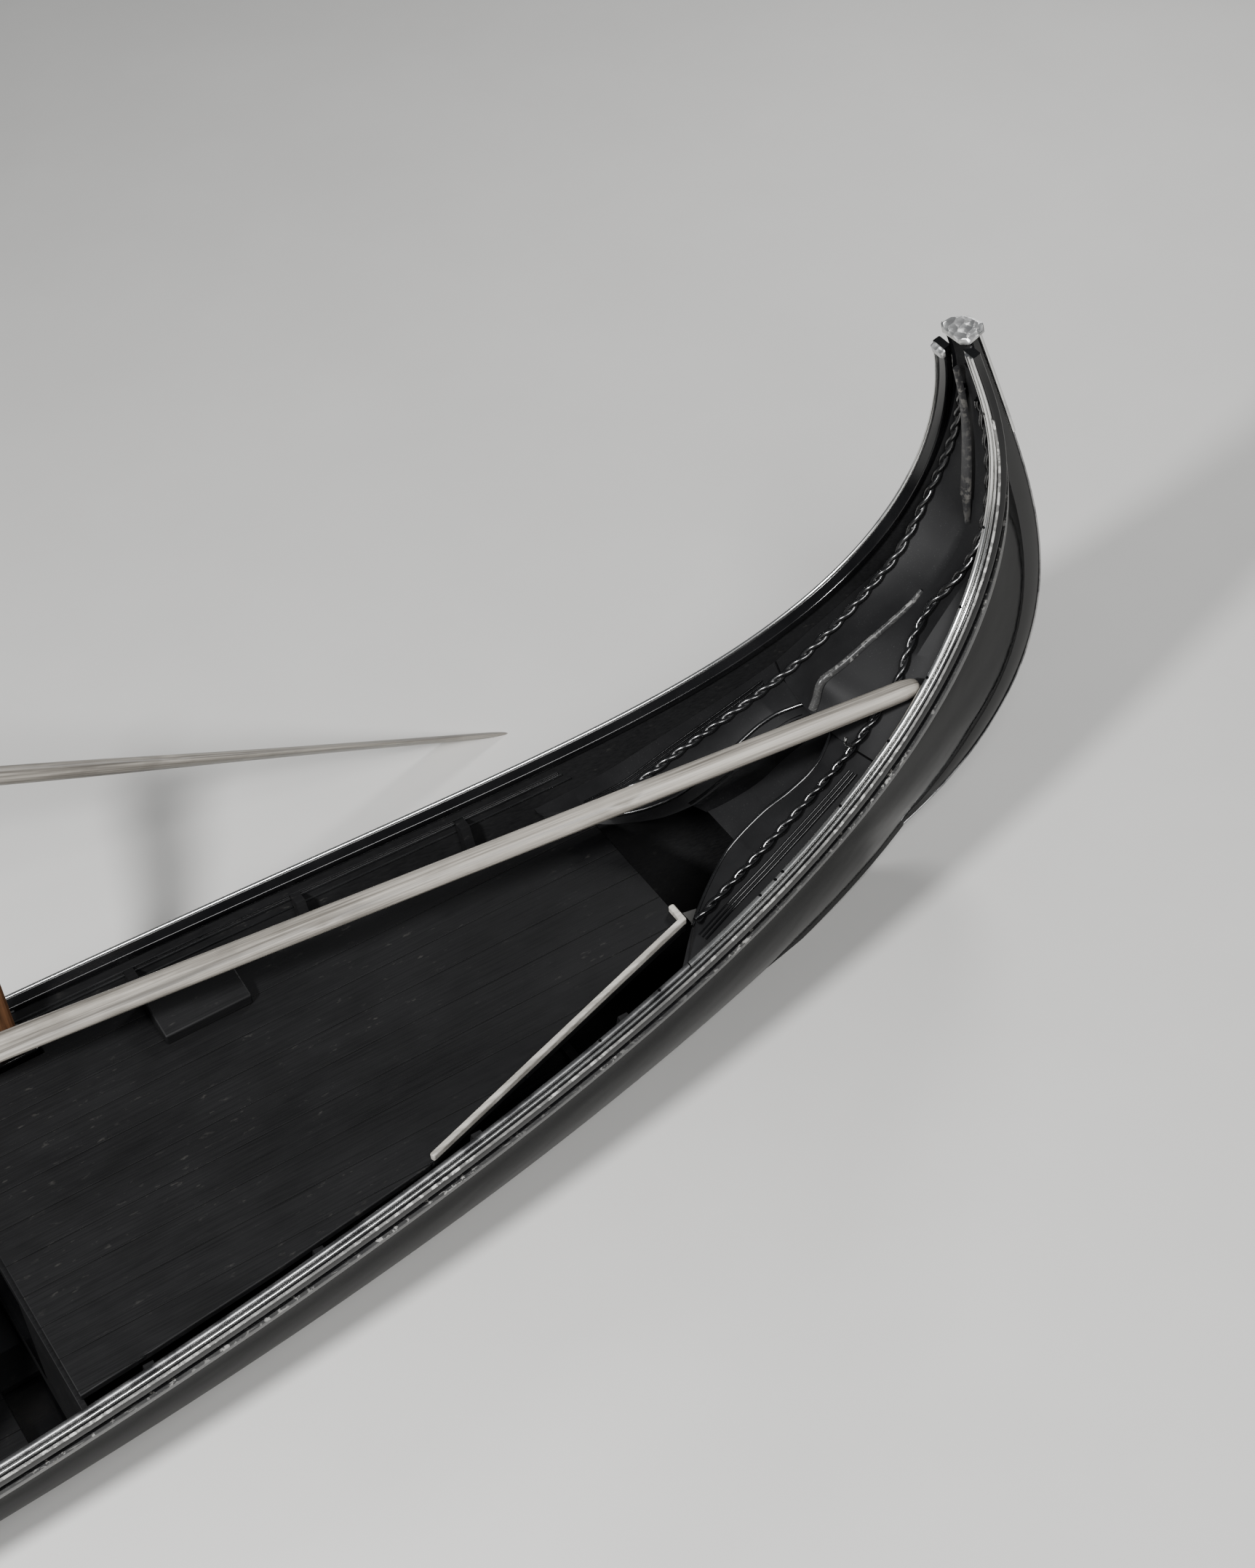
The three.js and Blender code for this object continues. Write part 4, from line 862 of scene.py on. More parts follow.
class NodeTool:
    """A geometry node tree with named inputs, run on a piece and turned into its plain mesh."""

    def __init__(self, name: str, sizes: dict[str, float]) -> None:
        """Starts the tree.

        Args:
            name: The tree's name.
            sizes: Its named inputs with their values, whole numbers for counts.
        """
        self.tree = bpy.data.node_groups.new(name, "GeometryNodeTree")
        self.sizes = sizes
        self.tree.interface.new_socket("Geometry", in_out="INPUT", socket_type="NodeSocketGeometry")
        self.sockets = {}
        for key, value in sizes.items():
            kind = "NodeSocketInt" if isinstance(value, int) else "NodeSocketFloat"
            self.sockets[key] = self.tree.interface.new_socket(key, in_out="INPUT", socket_type=kind)
        self.tree.interface.new_socket("Geometry", in_out="OUTPUT", socket_type="NodeSocketGeometry")
        self.start = self.add("NodeGroupInput").outputs

    def add(self, kind: str, inputs: dict | None = None, **settings) -> Node:
        """Adds a node to the tree."""
        return add(self.tree, kind, inputs, **settings)

    def maths(self, operation: str, a: object, b: object = 0.0) -> Socket:
        """Adds arithmetic on one or two numbers."""
        return maths(self.tree, operation, a, b)

    def xyz(self, *parts: object) -> Socket:
        """Adds a vector of three numbers."""
        return self.add("ShaderNodeCombineXYZ", dict(enumerate(parts))).outputs[0]

    def up(self) -> Socket:
        """Reads the points' up direction."""
        read = self.add("GeometryNodeInputNamedAttribute", {"Name": "up"}, data_type="FLOAT_VECTOR")
        return read.outputs[0]

    def close(self, geometry: Socket, finish: Finish) -> "NodeTool":
        """Ends the tree in real geometry with a finish."""
        smooth = self.add("GeometryNodeSetShadeSmooth", {"Geometry": geometry})
        real = self.add("GeometryNodeRealizeInstances", {"Geometry": smooth.outputs[0]})
        dressed = self.add("GeometryNodeSetMaterial", {"Geometry": real.outputs[0],
                                                       "Material": finish.material()})
        self.add("NodeGroupOutput", {"Geometry": dressed.outputs[0]})
        return self

    def tube(self, line: Socket, section: Socket, finish: Finish) -> "NodeTool":
        """Ends the tree in a capped tube along a line."""
        body = self.add("GeometryNodeCurveToMesh", {"Curve": line, "Profile Curve": section,
                                                    "Fill Caps": True})
        return self.close(body.outputs[0], finish)

    def run(self, base: Piece, sharp: float = 50.0) -> Piece:
        """Runs the tree on an object and keeps the result as its plain mesh.

        Args:
            base: The object, whose mesh the tree reads.
            sharp: The angle in degrees from which an edge stays sharp.

        Returns:
            The same object with the new mesh and no modifier.
        """
        modifier = base.modifiers.new(self.tree.name, "NODES")
        modifier.node_group = self.tree
        for key, value in self.sizes.items():
            modifier[self.sockets[key].identifier] = value
        base.update_tag()
        graph = bpy.context.evaluated_depsgraph_get()
        mesh = bpy.data.meshes.new_from_object(base.evaluated_get(graph))
        base.modifiers.remove(modifier)
        base.data = mesh
        mesh.set_sharp_from_angle(angle=math.radians(sharp))
        return base


def path_object(name: str, path: Points, ups: Points, linked: bool = True) -> Piece:
    """Makes an object of points that carry an up direction.

    Args:
        name: The object's name.
        path: Its points.
        ups: The up direction at each point.
        linked: Whether edges join the points to a line.

    Returns:
        The object, for a node tree to read.
    """
    mesh = bpy.data.meshes.new(name)
    edges = [(k, k + 1) for k in range(len(path) - 1)] if linked else []
    mesh.from_pydata([tuple(point) for point in path], edges, [])
    layer = mesh.attributes.new("up", "FLOAT_VECTOR", "POINT")
    layer.data.foreach_set("vector", [value for up in ups for value in up])
    return enter(name, mesh)


def rope_tool(radius: float, pitch: float, lobes: int, depth: float, finish: Finish) -> NodeTool:
    """A carved rope: a lobed section that turns once each pitch along the line.

    Args:
        radius: The rope's radius.
        pitch: The length in which its strands turn once.
        lobes: The number of strands.
        depth: How deep the hollows between strands are, as a share of the radius.
        finish: Its finish.

    Returns:
        The tree, which reads a line of points.
    """
    tool = NodeTool("carved rope", {"Radius": radius, "Pitch": pitch, "Strands": lobes, "Hollow": depth,
                                    "Step": pitch / lobes / 7})
    size = tool.start
    line = tool.add("GeometryNodeMeshToCurve", {"Mesh": size["Geometry"]})
    even = tool.add("GeometryNodeResampleCurve", {"Curve": line.outputs[0], "Length": size["Step"]},
                    mode="LENGTH")
    turns = tool.maths("DIVIDE", tool.add("GeometryNodeSplineParameter").outputs["Length"], size["Pitch"])
    tilted = tool.add("GeometryNodeSetCurveTilt", {"Curve": even.outputs[0],
                                                   "Tilt": tool.maths("MULTIPLY", turns, math.tau)})
    round_ = tool.add("GeometryNodeCurvePrimitiveCircle", {"Resolution": 8 * lobes, "Radius": 1.0})
    place_ = tool.add("GeometryNodeInputPosition").outputs[0]
    flat = tool.add("ShaderNodeSeparateXYZ", {0: place_}).outputs
    lobe = tool.maths("DIVIDE", size["Strands"], 2.0)
    angle = tool.maths("MULTIPLY", tool.maths("ARCTAN2", flat[1], flat[0]), lobe)
    wave = tool.maths("ABSOLUTE", tool.maths("COSINE", angle))
    hollow = tool.maths("MULTIPLY", size["Hollow"], tool.maths("SUBTRACT", wave, 1.0))
    reach = tool.maths("MULTIPLY", size["Radius"], tool.maths("ADD", 1.0, hollow))
    lobed = tool.add("ShaderNodeVectorMath", {0: place_, 3: reach}, operation="SCALE").outputs[0]
    section = tool.add("GeometryNodeSetPosition", {"Geometry": round_.outputs[0], "Position": lobed})
    return tool.tube(tilted.outputs[0], section.outputs[0], finish)


def screw_tool(radius: float, proud: float, slot: float, finish: Finish) -> NodeTool:
    """Slotted screw heads on points.

    Args:
        radius: The head's radius.
        proud: How far it stands out.
        slot: The slot's width.
        finish: Its finish.

    Returns:
        The tree, which reads loose points with an up direction.
    """
    tool = NodeTool("slotted screws", {"Radius": radius, "Proud": proud, "Slot": slot, "Seed": 5})
    size = tool.start
    heads = tool.add("GeometryNodeMeshToPoints", {"Mesh": size["Geometry"]})
    head = tool.add("GeometryNodeMeshCone", {
        "Vertices": 16, "Radius Top": tool.maths("MULTIPLY", size["Radius"], 0.8),
        "Radius Bottom": size["Radius"], "Depth": tool.maths("MULTIPLY", size["Proud"], 3.0)})
    gash = tool.add("GeometryNodeMeshCube", {
        "Size": tool.xyz(tool.maths("MULTIPLY", size["Radius"], 3.0), size["Slot"], size["Proud"])})
    lower, high = (tool.add("GeometryNodeTransform", {
        "Geometry": solid.outputs[0],
        "Translation": tool.xyz(0.0, 0.0, tool.maths("MULTIPLY", size["Proud"], lift))})
        for solid, lift in ((head, -2.0), (gash, 0.8)))
    slotted = tool.add("GeometryNodeMeshBoolean", {"Mesh 1": lower.outputs[0], "Mesh 2": high.outputs[0]},
                       operation="DIFFERENCE")
    aligned = tool.add("FunctionNodeAlignRotationToVector", {"Vector": tool.up()}, axis="Z").outputs[0]
    turn = tool.add("FunctionNodeRandomValue", {"Max": 3.1, "Seed": size["Seed"]}, data_type="FLOAT")
    spun = tool.add("FunctionNodeRotateRotation", {
        "Rotation": aligned, "Rotate By": tool.xyz(0.0, 0.0, turn.outputs[1])}, rotation_space="LOCAL")
    placed = tool.add("GeometryNodeInstanceOnPoints", {
        "Points": heads.outputs[0], "Instance": slotted.outputs[0], "Rotation": spun.outputs[0]})
    return tool.close(placed.outputs[0], finish)


def reed_tool(count: int, spacing: float, radius: float, finish: Finish) -> NodeTool:
    """Fine parallel reeds beside a line.

    Args:
        count: The number of reeds.
        spacing: The distance from one to the next, to the left of a forward line if positive.
        radius: A reed's radius.
        finish: Its finish.

    Returns:
        The tree, which reads a line of points with an up direction.
    """
    tool = NodeTool("parallel reeds", {"Count": count, "Spacing": spacing, "Radius": radius})
    size = tool.start
    line = tool.add("GeometryNodeMeshToCurve", {"Mesh": size["Geometry"]})
    copies = tool.add("GeometryNodeDuplicateElements", {"Geometry": line.outputs[0], "Amount": size["Count"]},
                      domain="SPLINE")
    along = tool.add("GeometryNodeInputTangent").outputs[0]
    aside = tool.add("ShaderNodeVectorMath", {0: tool.up(), 1: along}, operation="CROSS_PRODUCT").outputs[0]
    reach = tool.maths("MULTIPLY", copies.outputs["Duplicate Index"], size["Spacing"])
    kept = tool.add("GeometryNodeCaptureAttribute", {"Geometry": copies.outputs[0]}, domain="POINT")
    kept.capture_items.new("VECTOR", "shift")
    shift = tool.add("ShaderNodeVectorMath", {0: aside, 3: reach}, operation="SCALE").outputs[0]
    fill(tool.tree, kept, {1: shift})
    moved = tool.add("GeometryNodeSetPosition", {"Geometry": kept.outputs[0], "Offset": kept.outputs[1]})
    section = tool.add("GeometryNodeCurvePrimitiveCircle", {"Resolution": 8, "Radius": size["Radius"]})
    return tool.tube(moved.outputs[0], section.outputs[0], finish)


def softened(node: str, radius: float, segments: int = 2) -> Piece:
    """A welded copy of a frame's solid with its edges eased by a live bevel.

    Args:
        node: The frame's node.
        radius: The bevel's width.
        segments: Its segments.

    Returns:
        The new piece, undressed.
    """
    def weld(work: bmesh.types.BMesh) -> None:
        """Joins doubled corners and flat faces."""
        bmesh.ops.remove_doubles(work, verts=work.verts, dist=0.00002)
        bmesh.ops.dissolve_limit(work, angle_limit=math.radians(0.6), verts=work.verts, edges=work.edges)

    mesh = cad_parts[node].data.copy()
    mesh.materials.clear()
    made = enter(node + "_eased", smoothed(mesh, EASED, weld))
    bevel = made.modifiers.new("eased edges", "BEVEL")
    bevel.width, bevel.segments, bevel.limit_method = radius, segments, "ANGLE"
    bevel.angle_limit = math.radians(EASED)
    return made


# Sub-assemblies


@dataclass
class Planking:
    """The shell: sides, bottom, post, stem, gunwales and rubbing wales."""

    parts: int = 12
    rail_in: float = 0.022
    rail_out: float = 0.026
    rail_half_high: float = 0.012
    rail_round: float = 0.005
    wale_drop: float = 0.024
    wale_high: float = 0.032
    wale_gap: float = 0.0035
    wale_stands: float = 0.024
    wale_edge: tuple[tuple[float, float], ...] = (
        # share of the wale's thickness, below its top
        (0.62, -0.0016), (1.01, -0.0016), (1.05, 0.001), (1.05, 0.005), (0.98, 0.005), (0.62, 0.003))

    def build(self) -> None:
        """Makes and dresses the whole shell."""
        for side in Side:
            self.side(side)
            self.gunwale(side)
            self.wale(side)
        self.backbone("bottom", "bottom_planking", lambda end, share: share >= end.foot_share, LINES.low_half)
        for name, end in (("stern_post", STERN), ("bow_stem", BOW)):
            self.backbone(name + "_timber", name,
                          lambda at, share, end=end: at is end and share <= end.foot_share,
                          lambda at, s: LINES.post_half)

    def side(self, side: Side) -> None:
        """One side's planking, gloss outside and dull inside."""
        parts = [k / self.parts for k in range(self.parts + 1)]
        rings = [[LINES.side_at(end, share, side, part) for part in parts]
                 + [LINES.side_at(end, share, side, part, LINES.side_thick) for part in reversed(parts)]
                 for end, share in LINES.run_through()]
        piece = loft(f"side_{side.word}", rings, sharp=50)
        piece.data.materials.append(FLANK.material())
        piece.data.materials.append(BILGE.material())
        count = len(rings[0])
        for number, face in enumerate(piece.data.polygons):
            inside = number % count >= self.parts + 1 and number < count * (len(rings) - 1)
            face.material_index = int(inside)
        place(piece, FLANK, f"side_planking_{side.word}")

    def gunwale(self, side: Side) -> None:
        """One gunwale, with its edges rounded."""
        box = [(-self.rail_in, -self.rail_half_high), (self.rail_out, -self.rail_half_high),
               (self.rail_out, self.rail_half_high), (-self.rail_in, self.rail_half_high)]
        places = LINES.run_through(skip=STERN.share_of_run(0.085) if side is Side.STARBOARD else 0.0)
        piece = along_rail(f"gunwale_rail_{side.word}", places, side, rounded(box, self.rail_round))
        place(piece, LACQUER, f"gunwale_{side.word}")

    def wale(self, side: Side) -> None:
        """One rubbing wale, whose upper edge is worn."""
        low, high = self.wale_drop, self.wale_drop + self.wale_high
        section = [(out, clamp(down, low, high))
                   for out, down in rounded([(0, low), (1, low), (1, high), (0, high)], 0.25, 2)]
        rings = []
        for end, share in LINES.run_through(skip=0.036):
            fade = min(1.0, (share - 0.03) / 0.03)
            rings.append([LINES.side_at(end, share, side, LINES.part_below(end, share, down),
                                        -(self.wale_gap + out * self.wale_stands * fade))
                          for out, down in section])
        place(loft(f"rubbing_wale_{side.word}", rings), WORN, f"wale_{side.word}")
        edge = [[LINES.side_at(end, share, side, LINES.part_below(end, share, self.wale_drop + down),
                               -(self.wale_gap + out * self.wale_stands)) for out, down in self.wale_edge]
                for end, share in LINES.run_through(skip=0.05)]
        place(loft(f"wale_rubbed_edge_{side.word}", edge), RIDGE)

    def backbone(self, name: str, node: str, belongs: object, half_at: object) -> None:
        """A slab inside the keel's curve: the bottom, the post or the stem."""
        rings = []
        for end, share in LINES.run_through(feet=True):
            if not belongs(end, share):
                continue
            s, z, in_s, in_z, depth = LINES.keel_at(end, share)
            y, half = LINES.centre(end, s), half_at(end, s)
            rings.append([Vector((end.world_x(s + in_s * depth * deep), y + side * half,
                                  z + in_z * depth * deep))
                          for side, deep in rounded([(-1, 0), (1, 0), (1, 1), (-1, 1)], 0.06, 1)])
        place(loft(name, rings), LACQUER, node)


def along_rail(name: str, places: Places, side: Side, section: Pairs,
               scale_at: object = None, shift_at: object = None) -> Piece:
    """A strip along the rail, from (outboard, up) pairs off the rail's centre line.

    Args:
        name: The piece's name.
        places: Where it runs.
        side: Port or starboard.
        section: Its section.
        scale_at: A function of the place that gives a scale for the section's breadth, or None.
        shift_at: A function of the place that gives how far outboard the section moves, or None.

    Returns:
        The piece.
    """
    rings = []
    for end, share in places:
        breadth = scale_at(end, share) if scale_at else 1.0
        shift = shift_at(end, share) if shift_at else 0.0
        up = LINES.rail_up(end, share)
        middle = LINES.rail_at(end, share, side)
        rings.append([middle + up * high + Vector((0.0, side.value * (out * breadth + shift), 0.0))
                      for out, high in section])
    return loft(name, rings)


@dataclass
class RailStrips:
    """The half-round strips on the rails, with their screws."""

    base: float = 0.0124
    inner: tuple[float, float] = (-0.022, -0.0025)
    inner_rise: float = 0.009
    outer: tuple[float, float] = (0.0022, 0.012)
    outer_rise: float = 0.006
    edge: tuple[float, float] = (0.0185, 0.0265)
    edge_rise: float = 0.003
    edge_from: float = 0.22
    slim: tuple[float, float] = (0.0135, 0.0262)
    slim_rise: float = 0.006
    tip_shift: float = 0.012
    scarf_run: float = 2.02
    starboard_from: float = 0.112
    screw: tuple[float, float, float] = (0.0055, 0.0008, 0.0016)  # head radius, stand-out, slot
    screws: Row = (0.21, 0.56, 0.79, 1.0, 1.2, 1.42, 1.66, 1.69, 1.75, 2.13, 2.34)

    def build(self) -> None:
        """Makes the strips of both rails and the screws on the port one."""
        split = STERN.share_of_run(self.scarf_run)
        everywhere = LINES.run_through()
        aft = [(end, share) for end, share in everywhere if end is STERN and share < split]
        aft.append((STERN, split))
        fore = [(STERN, split + 0.0006), *everywhere[len(aft) - 1:]]
        inner = half_round(*self.inner, self.base, self.inner_rise)
        outer = half_round(*self.outer, self.base, self.outer_rise)
        edge = half_round(*self.edge, self.base, self.edge_rise)
        slim = half_round(*self.slim, self.base, self.slim_rise)
        below = LINES.run_through(skip=STERN.share_of_run(self.edge_from))
        away = LINES.run_through(skip=STERN.share_of_run(self.starboard_from))
        slid = (self.narrow, self.aside)
        for name, places, side, section, ways, finish, nodes in (
                ("strip_port_aft", aft, Side.PORT, inner, slid, STRIP, ["rail_trim_port"]),
                ("strip_port_fore", fore, Side.PORT, inner, (), DULL_STRIP, []),
                ("bead_port", everywhere, Side.PORT, outer, slid, STRIP, []),
                ("edge_port", below, Side.PORT, edge, (), CHIPPED, []),
                ("strip_starboard", away, Side.STARBOARD, slim, (), STRIP, ["rail_trim_starboard"])):
            place(along_rail("rail_" + name, places, side, section, *ways), finish, *nodes)
        self.screw_heads()

    def narrow(self, end: EndLines, share: float) -> float:
        """The strips narrow towards the stern's tip."""
        return lerp(0.85, 1.0, clamp(end.run_of(share) / 0.6, 0.0, 1.0)) if end is STERN else 1.0

    def aside(self, end: EndLines, share: float) -> float:
        """The port strips stand farther outboard at the stern's tip."""
        return self.tip_shift * max(1 - end.run_of(share) / 0.5, 0.0) if end is STERN else 0.0

    def screw_heads(self) -> None:
        """Screws along the port strip."""
        points, ups = [], []
        for run in self.screws:
            share = STERN.share_of_run(run)
            up = LINES.rail_up(STERN, share)
            middle = sum(self.inner) / 2 * self.narrow(STERN, share) + self.aside(STERN, share)
            points.append(LINES.rail_at(STERN, share, Side.PORT) + up * (self.base + self.inner_rise)
                          + Vector((0.0, middle, 0.0)))
            ups.append(up)
        tool = screw_tool(*self.screw, CastMetal("dark screw steel", bright="3a3a3b", dark="1c1c1d"))
        place(tool.run(path_object("rail_strip_screws", points, ups, False)), STEEL)


@dataclass
class SternDeck:
    """The gabled deck of the stern, its carved ropes, the horn's spine and the decks beside the well."""

    rows: tuple[Row, ...] = (
        # run, edge drop, rope inset, rope drop, ridge drop
        (0, .018, .009, .018, .010), (.1, .042, .013, .026, .008), (.367, .060, .016, .030, .012),
        (.545, .070, .018, .031, .044), (.640, .074, .026, .030, .076), (.740, .078, .045, .029, .080),
        (.827, .074, .068, .022, .058), (.861, .072, .075, .017, .042), (.907, .068, .083, .011, .030),
        (.964, .062, .090, .009, 0), (1.033, .060, .095, .013, -.034), (1.114, .062, .098, .021, -.062),
        (1.171, .066, .101, .027, -.082), (1.251, .078, .106, .036, -.024), (1.300, .086, .108, .041, .004),
        (1.504, .096, .120, .053, 0), (1.676, .108, .126, .075, 0), (1.906, .140, .132, .121, 0),
        (2.3, .160, .100, .150, 0))
    lips: tuple[tuple[float, float], ...] = (
        # run, inset of the side deck's inner edge
        (1.300, .222), (1.343, .203), (1.401, .186), (1.446, .186), (1.527, .200), (1.619, .222),
        (1.780, .228), (1.980, .150), (2.12, .030))
    thick: float = 0.016
    gap: float = 0.003
    start: float = 0.12
    front: float = 1.3
    rope_radius: float = 0.0125
    rope_to: float = 1.98
    spine: tuple[tuple[float, float, float], ...] = (
        # run, half width, how far to port
        (.130, .006, -.030), (.220, .0085, -.020), (.300, .012, -.010), (.367, .015, 0), (.45, .018, .008),
        (.545, .020, .016), (.549, .0145, .016), (.590, .0105, .021), (.63, .0035, .026))
    hook_run: float = 1.315
    ridge_run: tuple[float, float] = (0.86, 1.285)
    well_run: tuple[float, float] = (1.306, 2.12)
    board_run: tuple[float, float] = (1.36, 1.78)
    reed_run: tuple[float, float] = (1.36, 2.0)
    bead_run: tuple[float, float] = (1.31, 2.0)
    inner_run: tuple[float, float] = (1.96, 5.2)
    lip_least: float = 0.012
    lip_fall: float = 0.062
    board_foot: float = 0.202
    reed_gap: float = 0.0125
    reed_radius: float = 0.0032
    bead_radius: float = 0.006
    inner_drops: tuple[float, ...] = (0.050, 0.066, 0.098)
    scroll_turn: float = 2.3
    scroll_radius: float = 0.036
    scroll_apart: float = 0.042
    scroll_wire: float = 0.008
    hook_wire: float = 0.0062
    port_lean: tuple[tuple[float, float], ...] = (
        # run, how far the port rope leans to the ridge, as a share
        (0, 0), (.5, 0), (.7, .12), (.8, .3), (.86, .4), (.93, .3), (1.0, .14), (1.08, 0), (3.0, 0))

    def build(self) -> None:
        """Makes and dresses the stern's deck work."""
        self.deck()
        self.spine_board()
        self.ridge_bead()
        for side in Side:
            self.rope(side)
            self.side_deck(side)
            self.reeds(side)
        self.scroll()
        self.hook()

    def at(self, share: float) -> tuple[float, float, float, float]:
        """Edge drop, rope inset, rope drop and ridge drop at a share."""
        return tuple(table_at(self.rows, STERN.run_of(share))[1:])

    def shares(self, start: float, stop: float, step: float = 0.012) -> list[float]:
        """Even shares between two runs."""
        count = max(int((stop - start) / step), 2)
        return [STERN.share_of_run(lerp(start, stop, k / count)) for k in range(count + 1)]

    def surface(self, share: float, below: float) -> Points:
        """The deck's section from port to starboard, a little hollow beside the ridge."""
        edge, inset, rope, ridge = self.at(share)
        half = {}
        top = LINES.middle_at(STERN, share, ridge + below)
        for side in Side:
            outer = LINES.inside_at(STERN, share, side, edge + below, self.gap)
            bend = LINES.inside_at(STERN, share, side, rope + below, inset)
            sag = min(0.010, (top - bend).length * 0.05)
            slope = [bend.lerp(top, k / 8) - UP * (sag * math.sin(math.pi * (k / 8) ** 0.8))
                     for k in range(9)]
            half[side] = [outer, outer.lerp(bend, 0.5), *slope[:-1]]
        return [*half[Side.PORT], top, *reversed(half[Side.STARBOARD])]

    def deck(self) -> None:
        """The deck itself."""
        rings = [self.surface(share, 0.0) + list(reversed(self.surface(share, self.thick)))
                 for share in self.shares(self.start, self.front)]
        place(loft("stern_deck_boards", rings, sharp=32), DECK, "stern_deck")

    def spine_board(self) -> None:
        """The weathered board along the horn, in two lengths."""
        rings = []
        for run, half, port in self.spine:
            share = STERN.share_of_run(run)
            up = LINES.rail_up(STERN, share)
            foot = LINES.middle_at(STERN, share, self.at(share)[3]) + up * (0.005 + half * 0.5)
            rings.append([foot + up * (high * 0.016) + Vector((0.0, y * half + port, 0.0))
                          for y, high in rounded([(1, 0), (-1, 0), (-0.8, 1), (0.8, 1)], 0.3, 2)])
        place(loft("horn_spine_board", rings), SPINE, "horn_spine")

    def ridge_bead(self) -> None:
        """A thin bead on the deck's ridge, which ends in the nose over the deck's front; its grey lacquer is
        a painted highlight.
        """
        shares = self.shares(*self.ridge_run, 0.008)
        path = [LINES.middle_at(STERN, share, self.at(share)[3]) + UP * 0.001 for share in shares]
        swell = [lerp(0.7, 1.25, k / (len(path) - 1)) for k in range(len(path))]
        section = half_round(-0.010, 0.010, 0.0, 0.013)
        place(sweep("stern_ridge_bead", path, [UP] * len(path), section, swell), RIDGE)

    def line(self, start: float, stop: float, step: float,
             spot: Callable[[float], Vector]) -> tuple[Points, Points]:
        """A line over the deck: its points, from a function of the share, and the rail's up directions."""
        shares = self.shares(start, stop, step)
        return [spot(share) for share in shares], [LINES.rail_up(STERN, share) for share in shares]

    def rope(self, side: Side) -> None:
        """One carved rope."""
        def spot(share: float) -> Vector:
            """The rope's middle at a share."""
            _, inset, rope, ridge = self.at(share)
            lean = table_at(self.port_lean, STERN.run_of(share))[1] if side is Side.PORT else 0.0
            point = LINES.inside_at(STERN, share, side, rope, inset)
            leant = point.lerp(LINES.middle_at(STERN, share, ridge), lean)
            return leant + LINES.rail_up(STERN, share) * self.rope_radius

        tool = rope_tool(self.rope_radius + 0.0015, *ROPE_CARVING, CARVED)
        base = path_object(f"stern_carved_rope_{side.word}", *self.line(0.2, self.rope_to, 0.02, spot))
        place(tool.run(base), CARVED, f"stern_rope_{side.word}")

    def side_deck(self, side: Side) -> None:
        """The narrow deck beside the well and the board that falls from its curved edge."""
        stern = STERN
        rings = []
        for share in self.shares(*self.well_run):
            edge, inset, rope, _ = self.at(share)
            lip = max(table_at(self.lips, stern.run_of(share))[1], self.lip_least)
            bend = min(inset, lip * 0.8)
            low = lerp(edge, rope, min(1.0, bend / inset))
            fall = self.lip_fall * clamp(lip / 0.2, 0.2, 1.0)
            points = [(edge, self.gap), (low, bend), (low + 0.012, lip - 0.004), (low + 0.018, lip),
                      (low + 0.030, lip + 0.003), (low + fall, lip + 0.02), (low + fall, lip + 0.006),
                      (low + 0.034, lip - 0.014), (low + 0.03, bend), (edge + self.thick, self.gap)]
            rings.append([LINES.inside_at(stern, share, side, drop, gap) for drop, gap in points])
        place(loft(f"side_deck_{side.word}", rings, sharp=34), DECK, f"stern_side_deck_{side.word}")
        foot = []
        for share in self.shares(*self.board_run):
            lip = table_at(self.lips, stern.run_of(share))[1]
            rope = self.at(share)[2]
            points = [(rope + 0.05, lip + 0.004), (rope + 0.05, lip + 0.016),
                      (self.board_foot, lip + 0.03), (self.board_foot, lip + 0.018)]
            foot.append([LINES.inside_at(stern, share, side, drop, gap) for drop, gap in points])
        place(loft(f"well_board_{side.word}", foot), LACQUER)

    def reeds(self, side: Side) -> None:
        """Fine reeds outboard of the rope, a bead on the side deck's edge and beads inside the planking."""
        def reed(share: float) -> Vector:
            """The first reed, which lies outboard of the rope."""
            edge, inset, rope, _ = self.at(share)
            where = inset - 0.027
            return LINES.inside_at(STERN, share, side, lerp(edge, rope, where / inset) + 0.0012, where)

        def bead(share: float) -> Vector:
            """The bead under the side deck's lip."""
            lip = table_at(self.lips, STERN.run_of(share))[1]
            return LINES.inside_at(STERN, share, side, self.at(share)[2] + 0.014, lip + 0.001)

        path = self.line(*self.reed_run, 0.02, reed)
        tool = reed_tool(3, self.reed_gap * side.value, self.reed_radius, LACQUER)
        place(tool.run(path_object(f"rope_reeds_{side.word}", *path)), LACQUER)
        path = self.line(*self.bead_run, 0.02, bead)
        tool = reed_tool(1, 0.0, self.bead_radius, CARVED)
        place(tool.run(path_object(f"side_deck_bead_{side.word}", *path)), CARVED)
        for number, drop in enumerate(self.inner_drops):
            path = self.line(*self.inner_run, 0.04,
                             lambda share, drop=drop: LINES.inside_at(STERN, share, side, drop, 0.0))
            place(sweep(f"inner_bead_{side.word}_{number}", *path, circle(0.004, 8)), CARVED)

    def scroll(self) -> None:
        """A carved scroll under the ridge's nose, two mirrored spirals on the deck's front board."""
        low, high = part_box("stern_deck_front")
        centre = Vector((high.x + 0.004, (low.y + high.y) / 2, high.z - 0.055))
        steps = 48
        parts = []
        for sign in (-1, 1):
            path = []
            for k in range(steps + 1):
                angle = self.scroll_turn * math.pi * k / steps
                radius = self.scroll_radius * (1 - 0.82 * k / steps)
                aside = self.scroll_apart + radius * math.sin(angle)
                path.append(centre + Vector((0.004 * k / steps, sign * aside,
                                             -0.02 + radius * math.cos(angle))))
            taper = [lerp(1.0, 0.55, k / steps) for k in range(steps + 1)]
            ahead = [Vector((1, 0, 0))] * len(path)
            parts.append(sweep(f"scroll_{sign}", path, ahead, circle(self.scroll_wire, 10), taper))
        place(joined("deck_front_scroll", parts), CARVED)

